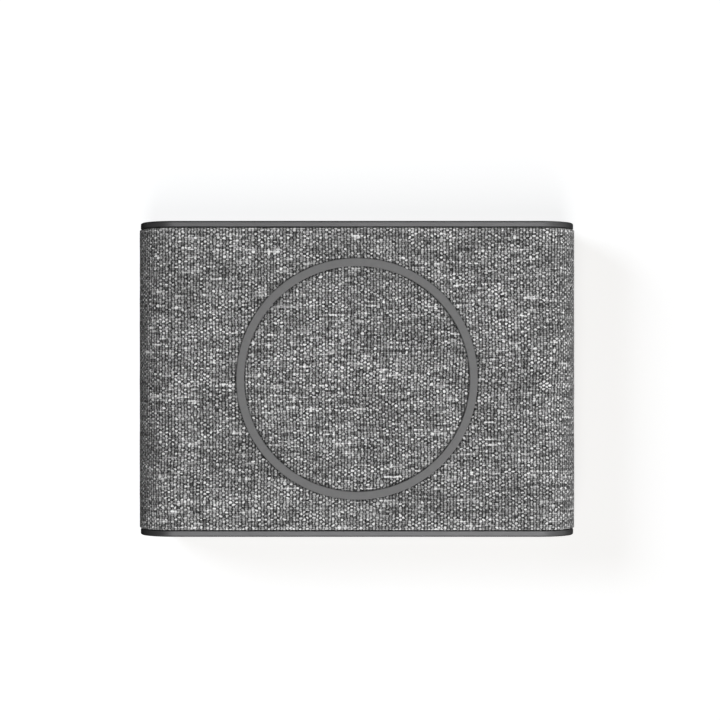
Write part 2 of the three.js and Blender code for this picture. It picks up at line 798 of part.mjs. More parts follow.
function screw(length) {
  const { shaft, tip, taper, head, crown, headHigh, shoulder, recess, recessDeep } = SCREW;
  return turned(
    [
      [0, -length],
      [tip, -length],
      [shaft, -length + taper],
      [shaft, 0],
      [head, 0],
      [head, shoulder],
      [crown, headHigh],
      [recess, headHigh],
      [0, headHigh - recessDeep],
    ],
    SCREW_STEPS,
  );
}
corners.forEach(([sx, sy], i) => {
  place(
    `carrier_screw_${i + 1}`,
    screw(SCREW.length - CARRIER.thick),
    STEEL,
    sx * CARRIER_SCREW_X,
    sy * CARRIER_SCREW_Y,
    CARRIER_TOP + SEAT_GAP,
  );
});
BOARD_SCREWS.forEach((x, i) => {
  place(`board_screw_${i + 1}`, screw(BOARD_SCREW_LENGTH), STEEL, x, BOARD_SCREW_Y, ON_BOARD);
});

export default pad;
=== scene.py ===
"""A portable wireless charging pad seen from straight above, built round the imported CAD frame."""
import math
import random

import bmesh
import bpy
import numpy as np
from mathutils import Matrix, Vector
from mathutils.geometry import tessellate_polygon


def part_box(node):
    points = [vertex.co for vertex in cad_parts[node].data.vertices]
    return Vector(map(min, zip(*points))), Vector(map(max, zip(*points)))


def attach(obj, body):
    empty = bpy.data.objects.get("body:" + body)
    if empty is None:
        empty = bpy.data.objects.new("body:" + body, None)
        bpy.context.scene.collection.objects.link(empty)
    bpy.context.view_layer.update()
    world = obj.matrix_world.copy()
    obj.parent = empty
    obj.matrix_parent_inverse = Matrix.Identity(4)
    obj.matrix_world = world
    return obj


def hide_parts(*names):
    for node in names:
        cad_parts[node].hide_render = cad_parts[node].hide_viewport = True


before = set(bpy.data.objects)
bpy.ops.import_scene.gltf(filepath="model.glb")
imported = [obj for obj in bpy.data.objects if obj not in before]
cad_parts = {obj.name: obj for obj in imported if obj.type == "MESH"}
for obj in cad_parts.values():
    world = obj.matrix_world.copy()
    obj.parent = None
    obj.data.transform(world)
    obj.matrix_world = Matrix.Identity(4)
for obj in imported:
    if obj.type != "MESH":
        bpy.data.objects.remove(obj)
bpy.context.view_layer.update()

MM = 0.001
SCENE = bpy.context.scene

# ---------------- sizes, taken from the frame

SLEEVE_LOW, SLEEVE_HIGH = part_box("fabric_sleeve")
SIDE_R = (SLEEVE_HIGH.z - SLEEVE_LOW.z) / 2
FLAT = (SLEEVE_HIGH.x - SLEEVE_LOW.x) / 2 - SIDE_R  # half the width of the flat top
MIDDLE = (SLEEVE_LOW.z + SLEEVE_HIGH.z) / 2
GRIP_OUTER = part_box("grip_ring")[1].x
FOOT_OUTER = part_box("foot_ring")[1].x
GRIP_BAND = 2.0 * MM
FOOT_BAND = 4.0 * MM


# ---------------- camera, floor and light

VIEW_HEIGHT = 467 * MM  # camera above the top of the fabric
LENS = 94.04
SENSOR = 36.0
SHIFT_X, SHIFT_Y = 0.0042, 0.0262
GLOW_FROM, GLOW_TO = 0.13, 0.45  # the floor brightens between these distances
GLOW_NEAR, GLOW_FAR = 0.757, 1.05
FLOOR_HALF = 3.0


def camera():
    data = bpy.data.cameras.new("camera")
    data.lens = LENS
    data.sensor_width = SENSOR
    data.shift_x = SHIFT_X
    data.shift_y = SHIFT_Y
    data.clip_start, data.clip_end = 0.01, 50.0
    made = bpy.data.objects.new("camera", data)
    made.location = (0, 0, SLEEVE_HIGH.z + VIEW_HEIGHT)
    SCENE.collection.objects.link(made)
    SCENE.camera = made


def backdrop_material():
    """The floor glows, a painted light: dimmer near the pad, where the lamps' soft shadows fall on
    it, and brightening further out into the backdrop, so that no horizon shows.
    """
    shader = Shader("floor")
    away = shader.node("VectorMath", {0: shader.place()}, out=1, operation="LENGTH")
    return shader.set(
        Base_Color=(0.5, 0.5, 0.5, 1),
        Roughness=1.0,
        Specular_IOR_Level=0.0,
        Emission_Color=(1, 0.99, 0.975, 1),
        Emission_Strength=away.spread(GLOW_FROM, GLOW_TO, GLOW_NEAR, GLOW_FAR),
    )


def floor():
    mesh = bpy.data.meshes.new("floor")
    corners = [(x * FLOOR_HALF, y * FLOOR_HALF, 0) for x, y in ((-1, -1), (1, -1), (1, 1), (-1, 1))]
    mesh.from_pydata(corners, [], [(0, 1, 2, 3)])
    mesh.materials.append(backdrop_material())
    made = bpy.data.objects.new("floor", mesh)
    SCENE.collection.objects.link(made)
    made.visible_diffuse = False
    made.visible_glossy = False
    return made


def linked(name, target, state):
    """A light-linking collection that holds one object."""
    group = bpy.data.collections.new(name)
    group.objects.link(target)
    group.collection_objects[0].light_linking.link_state = state
    return group


def area_light(name, place, size, power, receivers, colour=(1, 1, 1)):
    """A soft rectangular light that faces the pad."""
    data = bpy.data.lights.new(name, "AREA")
    data.shape = "RECTANGLE"
    data.size, data.size_y = size
    data.energy = power
    data.color = colour
    made = bpy.data.objects.new(name, data)
    made.location = place
    aim = Vector((0, 0, 0.01)) - Vector(place)
    made.rotation_euler = aim.to_track_quat("-Z", "Y").to_euler()
    made.visible_camera = False
    made.light_linking.receiver_collection = receivers
    SCENE.collection.objects.link(made)


def lights(ground):
    """Light for the pad comes from above, from the front and from the right. The backdrop has
    lights of its own, which leave its soft shadow to the right and in front."""
    pad = linked("all_but_floor", ground, "EXCLUDE")
    backdrop = linked("floor_only", ground, "INCLUDE")
    area_light("overhead", (0.14, -0.1, 0.95), (0.85, 0.7), 9.5, pad)
    area_light("front", (0.1, -0.9, 0.42), (0.9, 0.4), 2.4, pad)
    area_light("right", (0.9, -0.1, 0.38), (0.4, 0.9), 2.0, pad)
    area_light("low_front", (0.1, -0.9, 0.05), (1.0, 0.16), 2.2, pad)
    area_light("low_rear", (0.42, 0.8, 0.06), (0.9, 0.16), 2.4, pad)
    area_light("low_left", (-0.9, 0.1, 0.04), (0.16, 0.7), 0.35, pad)
    area_light("backdrop_left", (-1.2, 0.62, 0.85), (0.7, 0.7), 17, backdrop, (0.84, 0.91, 1))
    area_light("backdrop_front", (0.0, -0.7, 1.0), (0.6, 1.1), 6.4, backdrop)


def surroundings():
    """White all round for the camera, but no light from it."""
    world = bpy.data.worlds.new("studio")
    SCENE.world = world
    world.use_nodes = True
    background = world.node_tree.nodes["Background"]
    background.inputs["Color"].default_value = (1, 1, 1, 1)
    background.inputs["Strength"].default_value = 1.0
    world.cycles_visibility.diffuse = False
    world.cycles_visibility.glossy = False


# ---------------- material helpers


class Value:
    """A node's output. Formulas over it read as plain arithmetic."""

    def __init__(self, shader, socket):
        self.shader, self.socket = shader, socket

    def math(self, operation, *others):
        return self.shader.node("Math", dict(enumerate((self, *others))), operation=operation)

    def __add__(self, other):
        return self.math("ADD", other)

    def __sub__(self, other):
        return self.math("SUBTRACT", other)

    def __rsub__(self, other):
        return self.shader.node("Math", {0: other, 1: self}, operation="SUBTRACT")

    def __mul__(self, other):
        return self.math("MULTIPLY", other)

    def spread(self, low, high, to_low=0.0, to_high=1.0, kind="LINEAR"):
        """Maps low to high onto to_low to to_high, and stops at both ends."""
        inputs = {0: self, 1: low, 2: high, 3: to_low, 4: to_high}
        return self.shader.node("MapRange", inputs, interpolation_type=kind)

    def between(self, a, b):
        """a where this is 0 and b where it is 1."""
        return self.shader.node("Mix", {0: self, 2: a, 3: b}, data_type="FLOAT")

    def colour(self, a, b):
        """Colour a where this is 0 and colour b where it is 1."""
        inputs = {0: self, 6: (*a, 1), 7: (*b, 1)}
        return self.shader.node("Mix", inputs, out=2, data_type="RGBA")

    def grey(self):
        return self.shader.node("CombineColor", {0: self, 1: self, 2: self})

    def split(self):
        """The x, y and z of a vector."""
        parts = self.shader.tree.nodes.new("ShaderNodeSeparateXYZ")
        self.shader.put(parts.inputs[0], self)
        return [Value(self.shader, socket) for socket in parts.outputs]


class Shader:
    """One material's node tree. Inputs may be Values or plain numbers and colours."""

    def __init__(self, name):
        self.material = bpy.data.materials.new(name)
        self.material.use_nodes = True
        self.tree = self.material.node_tree
        self.bsdf = self.tree.nodes["Principled BSDF"]

    def put(self, socket, value):
        if isinstance(value, Value):
            self.tree.links.new(value.socket, socket)
        else:
            socket.default_value = value

    def node(self, kind, inputs, out=0, **settings):
        made = self.tree.nodes.new("ShaderNode" + kind)
        for key, value in settings.items():
            setattr(made, key, value)
        for key, value in inputs.items():
            self.put(made.inputs[key], value)
        return Value(self, made.outputs[out])

    def vector(self, x, y, z):
        return self.node("CombineXYZ", {0: x, 1: y, 2: z})

    def noise(self, vector, scale=1.0, detail=2.0, roughness=0.5):
        inputs = {"Vector": vector, "Scale": scale, "Detail": detail, "Roughness": roughness}
        return self.node("TexNoise", inputs, noise_dimensions="3D")

    def place(self):
        return self.node("TexCoord", {}, out=3)

    def bump(self, height, distance, strength):
        inputs = {"Height": height, "Distance": distance, "Strength": strength}
        self.put(self.bsdf.inputs["Normal"], self.node("Bump", inputs))

    def set(self, **values):
        for name, value in values.items():
            self.put(self.bsdf.inputs[name.replace("_", " ")], value)
        return self.material


# ---------------- the cloth's material


class Weave(Shader):
    """Plain weave of melange yarn. The mesh's weave attribute counts yarns: X across the warp, Y
    across the weft, so that yarn number i lies from i to i + 1. Z is 1 where a ring's channel
    presses the cloth."""

    def __init__(self):
        super().__init__("melange_weave")
        counts = self.node("Attribute", {}, out=1, attribute_name="weave")
        across, along, self.pressed = counts.split()
        # Hand-spun yarns are never quite straight or even.
        sway = self.field(across * 0.9, along * 0.8, 40.0)
        heave = self.field(across * 0.45, along * 0.7, 50.0)
        self.across = across + sway.spread(0.2, 0.8, -0.34, 0.34)
        self.along = along + heave.spread(0.2, 0.8, -0.5, 0.5)
        self.warp, self.weft = self.across.math("FLOOR"), self.along.math("FLOOR")
        # Slubs, thick places in the weft, lie over several warp yarns at a time.
        self.slub = self.field(self.across * 0.17, self.weft * 6.17, 77.0).spread(0.6, 0.68)
        self.warp_round = self.yarn_round(self.across)
        warp_high, weft_high = self.heights()
        self.high = warp_high.math("MAXIMUM", weft_high)
        self.on_top = (warp_high - weft_high).spread(-0.08, 0.08)

    def field(self, x, y, seed, detail=1.0, roughness=0.5):
        """Noise over two counts, a different one for each seed."""
        return self.noise(self.vector(x, y, seed), detail=detail, roughness=roughness)

    def yarn_round(self, position):
        """The round top of a yarn: 1 at its middle and 0 at its edges."""
        off = (position.math("FRACT") - 0.5).math("DIVIDE", 0.5)
        return (1.0 - off * off).math("MAXIMUM", 0.0).math("SQRT")

    def over_and_under(self, other_yarn, own_number):
        """1 where a yarn passes over a crossing yarn, and -1 where it passes under the next."""
        return (other_yarn * math.pi).math("SINE") * (own_number * math.pi).math("COSINE")

    def heights(self):
        warp_wave = self.over_and_under(self.along, self.warp) * 0.5
        weft_wave = self.over_and_under(self.across, self.weft) * -0.5
        weft_high = self.yarn_round(self.along) * 0.7 + weft_wave + self.slub * 0.55
        return self.warp_round + warp_wave + 0.1, weft_high

    def yarn_tone(self, slow_place, fast_place):
        """Yarn is spun from light and dark fibres, so its tone drifts along its length."""
        slow = self.field(*slow_place).spread(0.3, 0.7)
        fast = self.field(*fast_place, roughness=0.6).spread(0.25, 0.75)
        return slow * 0.16 + fast * 0.84

    def melange(self):
        """The tone of whichever yarn is on top."""
        warp_tone = self.yarn_tone(
            (self.warp * 7.31, self.along * 0.1, 3.0), (self.warp * 5.17, self.along * 0.85, 9.0)
        )
        weft_tone = self.yarn_tone(
            (self.across * 0.11, self.weft * 6.43, 17.0), (self.across * 0.8, self.weft * 8.29, 23.0)
        )
        return self.on_top.between(weft_tone - 0.1 + self.slub * 0.35, warp_tone + 0.1)

    def fibres(self):
        """Fine fibres run along whichever yarn is on top, with its twist."""
        warp_twist = self.along * 1.1 + self.across
        weft_twist = self.across * 2.0 + self.along
        warp_fibre = self.noise(self.vector(self.across * 6.0, warp_twist, 0.0))
        weft_fibre = self.noise(self.vector(weft_twist, self.along * 4.0, 5.0))
        return self.on_top.between(weft_fibre, warp_fibre)

    def chance(self, warps_on, wefts_on):
        """A random number for the crossing that many yarns away."""
        crossing = self.vector(self.warp + warps_on, self.weft + wefts_on, 1.0)
        return self.node("TexWhiteNoise", {"Vector": crossing}, noise_dimensions="3D")

    def streaks(self):
        """Whole lengths of yarn are lighter or darker, which streaks the cloth both ways."""
        pick_streak = self.field(self.across * 0.11, self.weft * 7.77, 61.0)
        warp_streak = self.field(self.warp * 6.31, self.along * 0.035, 67.0)
        return pick_streak * 1.25 + warp_streak * 0.25 - 0.75

    def yarn_light(self, crossing, fibre):
        """How light the yarn itself is."""
        # Light and dark crossings rarely lie side by side.
        beside = self.chance(1, 0) + self.chance(-1, 0) + self.chance(0, 1) + self.chance(0, -1)
        fleck = crossing - beside * 0.25
        patches = self.field(self.across * 0.04, self.along * 0.045, 31.0, detail=3.0)
        # Every third pick or so is drawn a little tighter.
        beat = (self.along * (2 * math.pi / 2.75)).math("COSINE")
        shade = (self.melange() - 0.5) * 0.85 + fleck * 0.74 + self.streaks() * 1.7
        shade = shade + fibre.spread(0.25, 0.75, -0.5, 0.5) * 0.3
        shade = shade + patches.spread(0.3, 0.7, -0.5, 0.5) * 0.26 + beat * 0.08
        return (shade * 1.18).math("EXPONENT")

    def finish(self):
        fibre = self.fibres()
        crossing = self.chance(0, 0)
        # Painted shade darkens the gaps between the yarns' crowns.
        gap_shade = self.high.spread(0.6, 1.55, 0.04, 1.0, kind="SMOOTHSTEP")
        # Painted shade: dark lines in the crevices part the warp yarns, except where the weft is
        # slack or thick and covers them.
        slack = self.field(self.across * 0.12, self.along * 0.16, 83.0).spread(0.42, 0.62)
        rib_shade_floor = slack * 0.35 + 0.13 + self.slub * 0.4
        rib_shade = self.warp_round.spread(0.38, 0.97, rib_shade_floor, 1.0)
        # Painted shade: crossings picked at random are darkened, as deep pits between the yarns.
        pit_shade = crossing.spread(0.0, 0.22, 0.35, 1.0)
        # The last picks are drawn over the tube's end, where they are painted lighter: a painted
        # highlight where the folded edge catches the light.
        from_middle = self.place().split()[1].math("ABSOLUTE")
        end = SLEEVE_HIGH.y
        end_highlight = from_middle.spread(end - 1.2 * MM, end - 0.5 * MM, 1.0, 1.5)
        # Cloth pressed into a ring's channel is darker: partly denser cloth, partly painted shade in
        # the groove beside the ring.
        crushed_and_shaded = self.pressed.spread(0.0, 1.0, 1.0, 0.6)
        light = self.yarn_light(crossing, fibre) * gap_shade * rib_shade * pit_shade * end_highlight * crushed_and_shaded * 0.4
        colour = light.math("MINIMUM", 0.8).grey()
        self.bump(self.high + fibre * 0.35, 0.1 * MM, 0.9)
        return self.set(Base_Color=colour, Roughness=0.95, Sheen_Weight=0.08, Sheen_Roughness=0.5)


# ---------------- the other materials


def silicone_material():
    shader = Shader("silicone")
    place = shader.place()
    mottle = shader.noise(place, scale=900, detail=3)
    grain = shader.noise(place, scale=9000, detail=1)
    shader.bump(grain + mottle * 0.5, 0.012 * MM, 0.6)
    colour = mottle.spread(0.3, 0.7).colour((0.132, 0.132, 0.132), (0.144, 0.144, 0.145))
    return shader.set(Base_Color=colour, Roughness=grain.spread(0.3, 0.7, 0.62, 0.78))


def plate_material():
    """Moulded plastic under a satin metallic coat."""
    shader = Shader("satin_coat")
    place = shader.place()
    blast = shader.noise(place, scale=6500, detail=2)
    cloud = shader.noise(place, scale=120, detail=3)
    shader.bump(blast, 0.01 * MM, 0.5)
    colour = cloud.spread(0.3, 0.7).colour((0.095, 0.095, 0.097), (0.105, 0.105, 0.107))
    rough = blast.spread(0.3, 0.7, 0.46, 0.56)
    return shader.set(Base_Color=colour, Metallic=0.7, Roughness=rough)


def grained(name, dark, light, roughness, scale, depth=0.01, **more):
    """A moulded, sintered or plated surface: two tones in a fine grain, with matching bump."""
    shader = Shader(name)
    place = shader.place()
    grain = shader.noise(place, scale=scale, detail=3, roughness=0.6)
    cloud = shader.noise(place, scale=scale / 14, detail=2)
    shader.bump(grain, depth * MM, 0.7)
    colour = (grain * 0.5 + cloud * 0.5).spread(0.35, 0.65).colour(dark, light)
    rough = grain.spread(0.3, 0.7, roughness - 0.06, roughness + 0.06)
    return shader.set(Base_Color=colour, Roughness=rough, **more)


def board_material():
    """Solder mask over copper: tracks at right angles, which stand a little proud."""
    patch, pitch = 3 * MM, 0.75 * MM
    shader = Shader("solder_mask")
    place = shader.place()
    x, y, z = place.split()
    patches = shader.noise(shader.vector(x.math("SNAP", patch), y.math("SNAP", patch), z), scale=900)
    run = patches.spread(0.49, 0.51).between(x, y + z)
    off = ((run * (1 / pitch)).math("FRACT") - 0.5).math("ABSOLUTE")
    track = off.spread(0.2, 0.24, 1.0, 0.0)
    speckle = shader.noise(place, scale=4000, detail=2)
    shader.bump(track + speckle * 0.2, 0.03 * MM, 0.8)
    colour = track.colour((0.012, 0.09, 0.045), (0.03, 0.17, 0.085))
    return shader.set(Base_Color=colour, Roughness=speckle.spread(0.3, 0.7, 0.28, 0.42))


def foil_material():
    """The laminated aluminium pouch of a polymer cell, faintly creased."""
    shader = Shader("pouch_foil")
    place = shader.place()
    crease = shader.noise(place, scale=260, detail=4, roughness=0.6)
    sheen = shader.noise(place, scale=40, detail=2)
    shader.bump(crease, 0.25 * MM, 0.5)
    colour = sheen.spread(0.3, 0.7).colour((0.58, 0.59, 0.6), (0.68, 0.69, 0.7))
    return shader.set(Base_Color=colour, Metallic=1.0, Roughness=crease.spread(0.3, 0.7, 0.26, 0.4))


BLACK, SOFT_BLACK = (0.012, 0.012, 0.013), (0.022, 0.022, 0.024)
FINISHES = {
    "woven_fabric": Weave().finish(),
    "silicone": silicone_material(),
    "plate_plastic": plate_material(),
    "tube_plastic": grained("tube_plastic", BLACK, SOFT_BLACK, 0.55, 2600),
    "chassis_plastic": grained("chassis_plastic", BLACK, SOFT_BLACK, 0.62, 1800, 0.02),
    "circuit_board": board_material(),
    "socket_steel": grained(
        "plated_steel", (0.52, 0.51, 0.49), (0.62, 0.61, 0.59), 0.3, 3000, 0.004, Metallic=1.0
    ),
    "copper_wire": grained(
        "enamelled_copper", (0.5, 0.2, 0.1), (0.68, 0.3, 0.16), 0.34, 2400, 0.01, Metallic=0.9
    ),
    "ferrite": grained("sintered_ferrite", (0.03, 0.029, 0.029), (0.055, 0.052, 0.05), 0.66, 3200),
    "chip_epoxy": grained("chip_epoxy", (0.014, 0.014, 0.015), (0.028, 0.028, 0.03), 0.5, 5000),
    "capacitor_ceramic": grained("ceramic", (0.36, 0.24, 0.14), (0.44, 0.31, 0.19), 0.4, 2500),
    "cell_foil": foil_material(),
    "foam_tape": grained(
        "closed_cell_foam", (0.015, 0.015, 0.016), (0.05, 0.05, 0.05), 0.95, 1500, 0.12
    ),
    "socket_tongue_black": grained("black_nylon", BLACK, SOFT_BLACK, 0.4, 3600),
    "socket_tongue_white": grained("white_nylon", (0.72, 0.72, 0.7), (0.8, 0.8, 0.78), 0.42, 3600),
    "clear_plastic": grained(
        "frosted_acrylic", (0.82, 0.84, 0.86), (0.9, 0.92, 0.94), 0.3, 2600,
        Transmission_Weight=0.6, IOR=1.49,
    ),
    "led_phosphor": grained("phosphor", (0.75, 0.68, 0.3), (0.85, 0.8, 0.42), 0.6, 5000),
    "polyimide_film": grained("polyimide", (0.5, 0.2, 0.025), (0.6, 0.27, 0.04), 0.25, 700, 0.02),
    "wire_red": grained("red_sleeving", (0.4, 0.015, 0.012), (0.5, 0.025, 0.02), 0.42, 2200),
    "wire_black": grained("black_sleeving", BLACK, SOFT_BLACK, 0.42, 2200),
    "thermistor_bead": grained("bead", (0.03, 0.06, 0.2), (0.05, 0.09, 0.28), 0.3, 3000),
    # The rest are details that have no slot of their own in the CAD.
    "gold_flash": grained(
        "gold_flash", (0.78, 0.52, 0.18), (0.86, 0.6, 0.24), 0.24, 3000, 0.003, Metallic=1.0
    ),
    "led_case": grained("led_case", (0.74, 0.74, 0.72), (0.82, 0.82, 0.8), 0.45, 4000),
}


def dress_nodes():
    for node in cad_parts.values():
        for slot in node.material_slots:
            slot.material = FINISHES[slot.material.name]


# ---------------- mesh helpers


def rounded(width, height, radius, grow=0.0, centre=(0.0, 0.0), steps=12):
    """A rounded rectangle as a closed loop of (x, z). A radius of half the height gives a full
    round, and grow moves the whole outline out."""
    radius += grow
    x, z = width / 2 + grow - radius, height / 2 + grow - radius
    points = []
    for quarter, (cx, cz) in enumerate([(x, -z), (x, z), (-x, z), (-x, -z)]):
        for step in range(steps + 1):
            angle = math.radians(90) * (quarter - 1 + step / steps)
            across, up = radius * math.cos(angle), radius * math.sin(angle)
            points.append((centre[0] + cx + across, centre[1] + cz + up))
    return points


def circle(x, y, radius, steps=32):
    angles = [2 * math.pi * k / steps for k in range(steps)]
    return [(x + radius * math.cos(a), y + radius * math.sin(a)) for a in angles]


def fillet(radius, steps):
    """(inset, depth) pairs round a filleted edge, from the flat face to the side."""
    turns = [math.radians(90) * k / steps for k in range(steps + 1)]
    return [(radius * (1 - math.sin(t)), radius * (1 - math.cos(t))) for t in turns]


class Shape:
    """Points and faces gathered loop by loop, then made into one piece."""

    def __init__(self):
        self.points, self.faces = [], []
        self.finishes = []  # (first face, index of the material from there on)
        self.flat = set()  # faces that are shaded flat

    def finish(self, index):
        self.finishes.append((len(self.faces), index))

    def loop(self, points):
        first = len(self.points)
        self.points.extend(Vector(p) for p in points)
        return list(range(first, len(self.points)))

    def at_y(self, outline, y):
        return self.loop([(x, y, z) for x, z in outline])

    def at_z(self, outline, z):
        return self.loop([(x, y, z) for x, y in outline])

    def bridge(self, a, b):
        for i in range(len(a)):
            j = (i + 1) % len(a)
            self.faces.append((a[i], a[j], b[j], b[i]))

    def chain(self, loops):
        for a, b in zip(loops, loops[1:]):
            self.bridge(a, b)

    def fill(self, outer, holes=()):
        """Closes the flat face inside a loop, leaving its holes."""
        loops = [outer, *holes]
        order = [i for loop in loops for i in loop]
        for triangle in tessellate_polygon([[self.points[i] for i in loop] for loop in loops]):
            self.flat.add(len(self.faces))
            self.faces.append(tuple(order[i] for i in triangle))

    def solid(self, loops):
        """A closed solid through a row of loops."""
        self.chain(loops)
        self.fill(loops[0])
        self.fill(loops[-1])

    def turn(self, profile, steps, centre=(0.0, 0.0, 0.0), axis="z"):
        """A closed profile of (radius, height) turned about an axis. A radius of 0 is a point."""
        loops = []
        for radius, height in profile:
            ring = []
            for k in range(1 if radius == 0 else steps):
                angle = 2 * math.pi * k / steps
                x, y = radius * math.cos(angle), radius * math.sin(angle)
                offset = (x, y, height) if axis == "z" else (x, height, y)
                ring.append(Vector(centre) + Vector(offset))
            loops.append(self.loop(ring))
        for a, b in zip(loops, loops[1:] + loops[:1]):
            if len(a) == 1 and len(b) == 1:
                continue
            if len(a) == 1 or len(b) == 1:
                tip, ring = (a[0], b) if len(a) == 1 else (b[0], a)
                for k in range(len(ring)):
                    self.faces.append((tip, ring[k], ring[(k + 1) % len(ring)]))
            else:
                self.bridge(a, b)

    def block(self, low, high, edge, corner=None, steps=2):
        """A box between two corners, lying flat: its upright edges rounded by corner and the
        edges of its top and bottom by edge."""
        corner = edge if corner is None else corner
        (x0, y0, z0), (x1, y1, z1) = low, high
        centre = ((x0 + x1) / 2, (y0 + y1) / 2)
        loops = []
        for z, up in ((z0, 1), (z1, -1)):
            for inset, depth in fillet(edge, steps)[::up]:
                # The inset stays just short of the corner's radius, which would leave no arc.
                grow = -min(inset, corner * 0.99)
                outline = rounded(x1 - x0, y1 - y0, corner, grow, centre, steps)
                loops.append(self.at_z(outline, z + up * depth))
        self.solid(loops)

    def sweep(self, path, radius, sides):
        """A round wire along a level path of points, its ends closed."""
        points = [Vector(p) for p in path]
        up = Vector((0.0, 0.0, 1.0))
        loops = []
        for i, point in enumerate(points):
            ahead = points[min(i + 1, len(points) - 1)] - points[max(i - 1, 0)]
            ahead.normalize()
            side = ahead.cross(up)
            side.normalize()
            over = side.cross(ahead)
            ring = []
            for k in range(sides):
                angle = 2 * math.pi * k / sides
                ring.append(point + radius * (math.cos(angle) * side + math.sin(angle) * over))
            loops.append(self.loop(ring))
            up = over
        self.chain(loops)
        self.faces.append(tuple(loops[0]))
        self.faces.append(tuple(reversed(loops[-1])))

    def piece(self, name, finishes, node, body="root", sharp=35):
        """Makes the mesh that stands for a CAD node. Its first slot is its first finish."""
        mesh = bpy.data.meshes.new(name)
        mesh.from_pydata([tuple(p) for p in self.points], [], self.faces)
        for finish in finishes:
            mesh.materials.append(FINISHES[finish])
        for first, index in self.finishes:
            for polygon in mesh.polygons[first:]:
                polygon.material_index = index
        for polygon in mesh.polygons:
            polygon.use_smooth = polygon.index not in self.flat
        clean(mesh)
        mesh.set_sharp_from_angle(angle=math.radians(sharp))
        made = bpy.data.objects.new(name, mesh)
        SCENE.collection.objects.link(made)
        weighted = made.modifiers.new("normals", "WEIGHTED_NORMAL")
        weighted.keep_sharp = True
        register(made, body, node)


def clean(mesh):
    """Joins points that meet and turns every face outwards. Slivers among the flat faces would
    catch the light, so their edges are turned."""
    work = bmesh.new()
    work.from_mesh(mesh)
    bmesh.ops.remove_doubles(work, verts=work.verts, dist=1e-7)
    bmesh.ops.recalc_face_normals(work, faces=work.faces)
    flat = [face for face in work.faces if not face.smooth]
    inner = [edge for edge in work.edges if not any(face.smooth for face in edge.link_faces)]
    for turned in bmesh.ops.beautify_fill(work, faces=flat, edges=inner)["geom"]:
        if isinstance(turned, bmesh.types.BMFace):
            turned.smooth = False
    work.to_mesh(mesh)
    work.free()


def register(made, body, node):
    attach(made, body)
    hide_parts(node)


def middle_x(node):
    low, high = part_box(node)
    return (low.x + high.x) / 2


# ---------------- the fabric sleeve

PERIMETER = 4 * FLAT + 2 * math.pi * SIDE_R
WARPS = 304
WARP_WIDTH = PERIMETER / WARPS
WEFT_PITCH = 0.484 * MM  # before it is rounded to whole picks
COLUMNS = 2 * WARPS
SHEET = 0.75 * MM
EDGE_R = 0.28 * MM
FOLD = 2.05 * MM  # how far the ends are folded in over the tube
WOVEN_FOLD = 0.1 * MM  # past the edge the cloth is hidden, so the rest of the fold is plain
HALF = (SLEEVE_HIGH.y - SLEEVE_LOW.y) / 2
STRAIGHT = HALF - EDGE_R
QUARTER = EDGE_R * math.pi / 2
REACH = STRAIGHT + QUARTER + WOVEN_FOLD
PICKS = round(2 * REACH / WEFT_PITCH)
PICK_WIDTH = 2 * REACH / PICKS
FIRST_PICK = 40.5  # a half, so that a row of points runs down the middle of each pick
RELIEF = 0.17 * MM
PRESSED_RELIEF = 0.25  # the share of it that is left in a channel
SLUB_SINK = 0.02 * MM
JOIN_SINK = 0.2 * MM
JOIN_WIDTH = 0.75  # in yarns
CHANNEL = 0.6 * MM
CHANNEL_PLAY = 0.26 * MM
CHANNEL_WALL = 0.05 * MM  # from a channel's edge to the points above and below its wall
SNAP_REACH = 0.8 * MM


def waves(seed, count, longest, shortest):
    """A smooth random field over the cloth, as a sum of sines with fixed seeds."""
    draw = random.Random(seed)
    terms = []
    for _ in range(count):
        length = draw.uniform(shortest, longest)
        heading = draw.uniform(0, math.pi)
        phase = draw.uniform(0, 2 * math.pi)
        rates = [2 * math.pi * part / length for part in (math.cos(heading), math.sin(heading))]
        terms.append((*rates, phase))

    def field(a, b):
        return sum(np.sin(fa * a + fb * b + phase) for fa, fb, phase in terms) / math.sqrt(count)

    return field


def section(run, inset):
    """The point of the sleeve's section at a distance run round it from the middle of the
    underside, going to +X first, and the outward normal there."""
    run = np.mod(run, PERIMETER)
    half_turn = math.pi * SIDE_R
    right, left = FLAT, 3 * FLAT + half_turn  # where the round sides start
    x = np.where(run < FLAT, run, run - PERIMETER)
    z, nx, nz = np.full_like(run, MIDDLE - SIDE_R), np.zeros_like(run), np.full_like(run, -1.0)
    top = (run >= right + half_turn) & (run < left)
    x[top] = 2 * FLAT + half_turn - run[top]
    z[top] = MIDDLE + SIDE_R
    nz[top] = 1
    for start, centre, first in ((right, FLAT, -math.pi / 2), (left, -FLAT, math.pi / 2)):
        side = (run >= start) & (run < start + half_turn)
        angle = first + (run[side] - start) / SIDE_R
        nx[side], nz[side] = np.cos(angle), np.sin(angle)
        x[side] = centre + SIDE_R * nx[side]
        z[side] = MIDDLE + SIDE_R * nz[side]
    return x - nx * inset, z - nz * inset, nx, nz


def weave_height(across, along):
    """The plain weave's relief, from about 0 in the gaps to about 1 on the crowns."""
    warp, weft = np.floor(across), np.floor(along)
    warp_round = np.sqrt(np.clip(1 - ((across - warp - 0.5) / 0.5) ** 2, 0, 1))
    weft_round = np.sqrt(np.clip(1 - ((along - weft - 0.5) / 0.5) ** 2, 0, 1))
    warp_high = warp_round + 0.1 + 0.5 * np.sin(math.pi * along) * np.cos(math.pi * warp)
    weft_high = 0.7 * weft_round - 0.5 * np.sin(math.pi * across) * np.cos(math.pi * weft)
    return np.maximum(warp_high, weft_high) / 1.6


